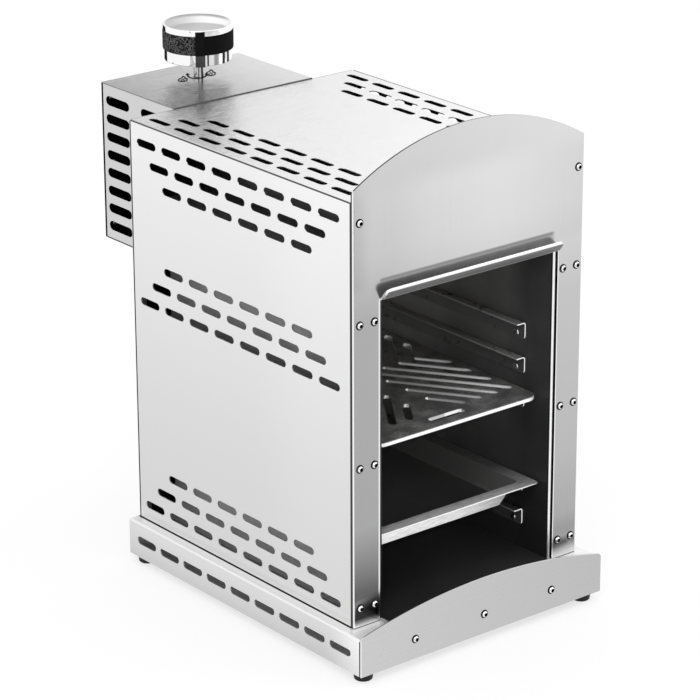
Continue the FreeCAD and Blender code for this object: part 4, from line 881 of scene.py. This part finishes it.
bm = bmesh.new()
for side in (-1, 1):
    for top in rivet["tops"]:
        for y in rivet["ends"]:
            head = facing(at(side * rivet["wall"], y, top - rivet["drop"]), (-side, 0, 0))
            addTurned(bm, rivet["profile"], head, rivet["segments"])
seal(bm, "rail_rivet_set", "fastener", "cabinet", ("rail_rivets",), screw["sharp"])

bm = bmesh.new()
for place in foot["places"]:
    addTurned(bm, foot["profile"], facing(at(*place, 0), (0, 0, 1)), foot["segments"])
bmesh.ops.remove_doubles(bm, verts=bm.verts, dist=0.001 * mm)
seal(bm, "foot_set", "foot", "cabinet", ("rubber_feet",), screw["sharp"])
print("fasteners and feet done")


# knob

knobForm = dict(  # radius and height, the height from one of the knob's levels
    core=(("roof", ((0, -1), (4.5, -1))), ("bottom", ((4.5, 2.5), (8.7, 2.5), (9, 2.8))), ("roof", ((9, 0),
        (26, 0))), ("bottom", ((26, 0.4), (26.4, 0), (29.9, 0), (30.35, 0.15), (30.6, 0.6))), ("seat",
        ((30.6, 0), (28.5, 0))), ("gripTop", ((28.5, 0), (31.1, 0), (31.45, 0.1), (31.6, 0.35))), ("top",
        ((31.6, -0.7), (31.45, -0.3), (31.0, 0), (30.1, 0), (29.8, -0.12), (28.6, -1.3), (26.6, -3.3),
        (25.2, -4.6), (24.0, -5.6), (23.0, -6.2), (21.6, -6.5), (12, -6.5), (0, -6.5)))),
    gripFoot=((28.6, 0), (31.4, 0), (31.9, 0.35), (31.6, 0.8)),
    gripHead=((31.6, -0.8), (31.9, -0.35), (31.4, 0), (28.6, 0)), coreSegments=128, coreSharp=48.0,
    gripSharp=24.0, plain=1.0, barDrop=1.1, barRim=0.35)


def knobCore():
    profile = [(radius, knob[level] + rise) for level, points in knobForm["core"] for radius, rise in points]
    bm = bmesh.new()
    addTurned(bm, profile, facing(at(0, knob["y"], 0), (0, 0, 1)), knobForm["coreSegments"])
    return seal(bm, "knob_turning", "chrome", "knob", ("knob_core",), knobForm["coreSharp"])


def knobGrip():
    low, high, plain = knob["seat"], knob["gripTop"], knobForm["plain"]
    around, rows = knob["around"] * 2, knob["rows"] * 2
    matrix = facing(at(0, knob["y"], 0), (0, 0, 1))
    levels = [(radius, low + rise) for radius, rise in knobForm["gripFoot"]]
    levels += [(None, low + plain + (high - low - 2 * plain) * row / rows) for row in range(rows + 1)]
    levels += [(radius, high + rise) for radius, rise in knobForm["gripHead"]]
    bm = bmesh.new()
    rings = []
    for index, (radius, z) in enumerate(levels):
        rings.append(addRing(bm, matrix, z, around, lambda step, angle: radius or (
            knob["peak"] if (step + index) % 2 else knob["valley"])))
    joinRings(bm, rings + rings[:1])
    return seal(bm, "knob_knurl", "grip", "knob", ("knob_grip",), knobForm["gripSharp"], False)


knobCore()
knobGrip()
pointerBar = softened("knob_pointer", "knob_pointer_bar", "pointer", "knob_black", knobForm["barRim"])
for vert in pointerBar.data.vertices:  # the bar ends below the rim's top
    vert.co.z = min(vert.co.z, at(0, 0, knob["top"] - knobForm["barDrop"]).z)
print("knob done")


# printed marks on the roof

mark = dict(
    low=375.805, high=375.84, line=2.1, arc=8.6, arcSteps=28, arcPlace=(-1.8, 6.8), stretch=1.5,
    turn=math.radians(-39.0), tip=4.0, tipWidth=0.55, flame=11.0, flameStretch=1.8,
    flames=((-14.0, -7.5, 0.9), (10.2, 13.0, 1.0)), flameLine=0.7, core=0.4, coreDrop=0.16, coreLine=0.5)
flameForm = ((0.0, -0.5), (0.30, -0.42), (0.42, -0.14), (0.32, 0.16), (0.20, 0.02), (0.16, 0.32), (-0.04, 0.6),
             (-0.08, 0.26), (-0.28, 0.08), (-0.42, -0.18), (-0.28, -0.44))


def smoothLoop(points):  # cuts the corners twice
    for _ in range(2):
        pairs = zip(points, points[1:] + points[:1])
        points = [near * share + far * (1 - share) for near, far in pairs for share in (0.75, 0.25)]
    return points


def placeMarks(verts, times, place):  # made long, moved and turned to the front left
    turn = Matrix.Rotation(mark["turn"], 2)
    for vert in verts:
        drawn = (vert.co - at(0, 0, 0)) * perMetre
        flat = turn @ Vector((drawn.x + place[0], drawn.y * times + place[1]))
        vert.co.xy = at(flat.x, flat.y + knob["y"], 0).xy


def addRibbon(bm, points, width, closed):
    points = [Vector(p) for p in points]
    rows = []
    for index, point in enumerate(points):
        before = points[index - 1] if index or closed else point
        after = points[(index + 1) % len(points)] if index < len(points) - 1 or closed else point
        along = (after - before).normalized()
        side = Vector((-along.y, along.x)) * width / 2
        ends = [point + side * sign for sign in (-1, 1)]
        rows.append([bm.verts.new(at(*end, level)) for end in ends for level in (mark["low"], mark["high"])])
    pairs = list(zip(rows, rows[1:])) + ([(rows[-1], rows[0])] if closed else [])
    for first, second in pairs:
        for a, b in ((0, 1), (1, 3), (3, 2), (2, 0)):
            bm.faces.new((first[a], first[b], second[b], second[a]))
    if not closed:
        for row in (rows[0], rows[-1]):
            bm.faces.new((row[0], row[1], row[3], row[2]))


def addTip(bm, point, along, size):  # arrowhead
    along = Vector(along).normalized()
    side = Vector((-along.y, along.x))
    spread = side * size * mark["tipWidth"]
    corners = [Vector(point) + along * size, Vector(point) + spread, Vector(point) - spread]
    low, high = ([bm.verts.new(at(*corner, mark[level])) for corner in corners] for level in ("low", "high"))
    bm.faces.new(high)
    bm.faces.new(low[::-1])
    joinRings(bm, [low, high])


def addFlame(bm, size, line, drop=0.0):
    form = [Vector((x, y - drop)) * size for x, y in flameForm]
    addRibbon(bm, smoothLoop(form), line, True)


def roofMarks():
    bm = bmesh.new()
    arc = []
    for step in range(mark["arcSteps"] + 1):
        angle = math.pi * (1 + step / mark["arcSteps"])
        arc.append(Vector((math.cos(angle), math.sin(angle))) * mark["arc"])
    addRibbon(bm, arc, mark["line"], False)
    addTip(bm, arc[0], arc[0] - arc[2], mark["tip"])
    addTip(bm, arc[-1], arc[-1] - arc[-3], mark["tip"])
    placeMarks(bm.verts, mark["stretch"], mark["arcPlace"])
    for x, y, share in mark["flames"]:
        before = set(bm.verts)
        size = mark["flame"] * share
        addFlame(bm, size, mark["line"] * mark["flameLine"])
        addFlame(bm, size * mark["core"], mark["line"] * mark["coreLine"], mark["coreDrop"] / mark["core"])
        placeMarks([v for v in bm.verts if v not in before], mark["flameStretch"], (x, y))
    return seal(bm, "roof_marks", "ink", "cabinet", (), 40.0, False)


roofMarks()


# gas inlet thread

inlet = dict(
    x=40.0, y=373.0, radius=10.35, depth=1.0, pitch=1.814, bottom=209.7, top=226.7, segments=60, rows=64,
    fadeRows=5, fadeDepth=0.6, sharp=50.0, nutRim=0.4,
    body=((9.75, 209.7), (4.4, 209.7), (4.1, 210.0), (4.1, 238.7), (12.6, 238.7), (13.2, 238.3, 6),
        (13.5, 237.9, 6), (13.5, 232.7, 6), (9.5, 232.7), (9.5, 226.7), (9.75, 226.7)))


def inletFitting():
    bm = bmesh.new()
    matrix = facing(at(inlet["x"], inlet["y"], 0), (0, 0, 1))
    segments, rows = inlet["segments"], inlet["rows"]
    rings = []
    for row in range(rows + 1):
        z = inlet["bottom"] + (inlet["top"] - inlet["bottom"]) * row / rows
        fade = min(1.0, row / inlet["fadeRows"], (rows - row) / inlet["fadeRows"])

        def reachAt(step, angle):
            phase = (z / inlet["pitch"] - step / segments) % 1.0
            cut = inlet["depth"] * (1 - abs(2 * phase - 1)) * fade
            return inlet["radius"] - cut - inlet["fadeDepth"] * (1 - fade)

        rings.append(addRing(bm, matrix, z, segments, reachAt))
    joinRings(bm, rings)
    addTurned(bm, inlet["body"], matrix, segments)
    bmesh.ops.remove_doubles(bm, verts=bm.verts, dist=0.002 * mm)
    return seal(bm, "inlet_thread", "inlet", "cabinet", ("inlet_fitting",), inlet["sharp"], False)


inletFitting()
softened("inlet_nut", "inlet_lock_nut", "inlet", "inlet_brass", inlet["nutRim"])


# finishes on the frame's own pieces

carried = dict(
    back=("back_panel",),
    rearBack=("rear_box_back", "rear_box_floor"),
    bracket=("valve_bracket",),
    liner=("liner_left", "liner_right", "liner_back"),
    floor=("chamber_floor",),
    ceiling=("chamber_ceiling",),
    tile=("ceramic_tiles",),
    burner=("burner_frame", "burner_housing", "mixing_tube"),
    probe=("ignition_electrode", "flame_probe"),
    brass=("valve_body", "valve_plug", "injector"),
    pipe=("supply_pipe",),
    lead=("ignition_lead", "probe_lead"),
    stem=("valve_stem", "stem_collar"),
)
for finish, names in carried.items():
    for name in names:
        nodes[name].data.materials.clear()
        nodes[name].data.materials.append(finishes[finish])
print("frame pieces finished")


# floor, world, lamps and camera, in metres

studio = dict(
    floorSize=30.0, floorGlow=0.7, floorLevel=0.95, middle=(0, 0, 0.2),
    lamps=(("keyLamp", (-1.6, -1.5, 2.6), 1.6, 22), ("fillLamp", (2.2, -1.4, 1.9), 1.8, 12)),
    cards=(("card_camera_left", (-1.9, -0.9, 0.2), (0, 0, 0.2), (0.25, 1.2), 0.02), ("card_camera_right",
        (-0.5, -2.1, 0.2), (0, 0, 0.2), (0.3, 1.2), 0.03), ("card_back", (0.17, 0.91, 0.22), (0, 0.178, 0.22),
        (0.72, 0.44), 0.02)))


def makeWorld():
    world = bpy.data.worlds.new("studioWorld")
    bpy.context.scene.world = world
    world.use_nodes = True
    back = next(n for n in world.node_tree.nodes if n.type == "BACKGROUND")
    back.inputs["Color"].default_value = (1, 1, 1, 1)
    back.inputs["Strength"].default_value = 1.0


def flatPlate(name, width, height):
    bm = bmesh.new()
    corners = [(x * width / 2, y * height / 2, 0) for x, y in ((-1, -1), (1, -1), (1, 1), (-1, 1))]
    bm.faces.new([bm.verts.new(corner) for corner in corners])
    return linked(bm, name)


def makeFloor():
    floor = flatPlate("studio_floor", studio["floorSize"], studio["floorSize"])
    paper = Finish("studioFloor")
    node = paper.add("ShaderNodeLightPath").socket.node
    camera, glossy, through = (Wire(paper, node.outputs["Is %s Ray" % kind])
                               for kind in ("Camera", "Glossy", "Transmission"))
    paper.give(baseColor=grey(studio["floorLevel"]), roughness=1.0)
    glow = paper.add("ShaderNodeEmission", inputs={"Color": grey(1), "Strength": 1.0})
    share = (camera * studio["floorGlow"]).most(glossy).most(through)
    plain = Wire(paper, paper.shader.outputs[0])
    paper.show(paper.add("ShaderNodeMixShader", inputs={0: share, 1: plain, 2: glow}))
    floor.data.materials.append(paper.material)


def aim(thing, place, target):
    thing.location = Vector(place)
    thing.rotation_euler = (Vector(target) - Vector(place)).to_track_quat("-Z", "Y").to_euler()


def lamp(name, place, size, power):
    light = bpy.data.lights.new(name, "AREA")
    light.shape = "RECTANGLE"
    light.size = light.size_y = size
    light.energy = power
    thing = bpy.data.objects.new(name, light)
    bpy.context.scene.collection.objects.link(thing)
    aim(thing, place, studio["middle"])


def card(name, place, target, size, level):  # dark card that only reflections show
    thing = flatPlate(name, *size)
    aim(thing, place, target)
    paint = Finish(name)
    paint.show(paint.add("ShaderNodeEmission", inputs={"Color": grey(level), "Strength": 1.0}))
    thing.data.materials.append(paint.material)
    thing.visible_camera = thing.visible_diffuse = thing.visible_shadow = False
    thing.visible_transmission = thing.visible_volume_scatter = False


makeWorld()
makeFloor()
for values in studio["lamps"]:
    lamp(*values)
for values in studio["cards"]:
    card(*values)

view = dict(
    yaw=0.6812, pitch=0.3600, roll=-0.0029, place=(-1.6665, -2.09445, 1.2118), sensor=36.0, focal=3215.5,
    pixels=700, far=60.0)


def makeCamera():
    yaw, pitch, roll = view["yaw"], view["pitch"], view["roll"]
    forward = Vector((math.sin(yaw) * math.cos(pitch), math.cos(yaw) * math.cos(pitch), -math.sin(pitch)))
    right = Vector((math.cos(yaw), -math.sin(yaw), 0))
    up = right.cross(forward)
    across = right * math.cos(roll) + up * math.sin(roll)
    upward = up * math.cos(roll) - right * math.sin(roll)
    lens = bpy.data.cameras.new("photoCamera")
    lens.sensor_width = view["sensor"]
    lens.lens = view["focal"] / view["pixels"] * view["sensor"]
    lens.clip_end = view["far"]
    camera = bpy.data.objects.new("photoCamera", lens)
    bpy.context.scene.collection.objects.link(camera)
    turn = Matrix((across, upward, -forward)).transposed().to_4x4()
    camera.matrix_world = Matrix.Translation(view["place"]) @ turn
    bpy.context.scene.camera = camera


makeCamera()
bpy.context.scene.view_settings.view_transform = "Standard"
print("studio ready")

bpy.context.view_layer.update()
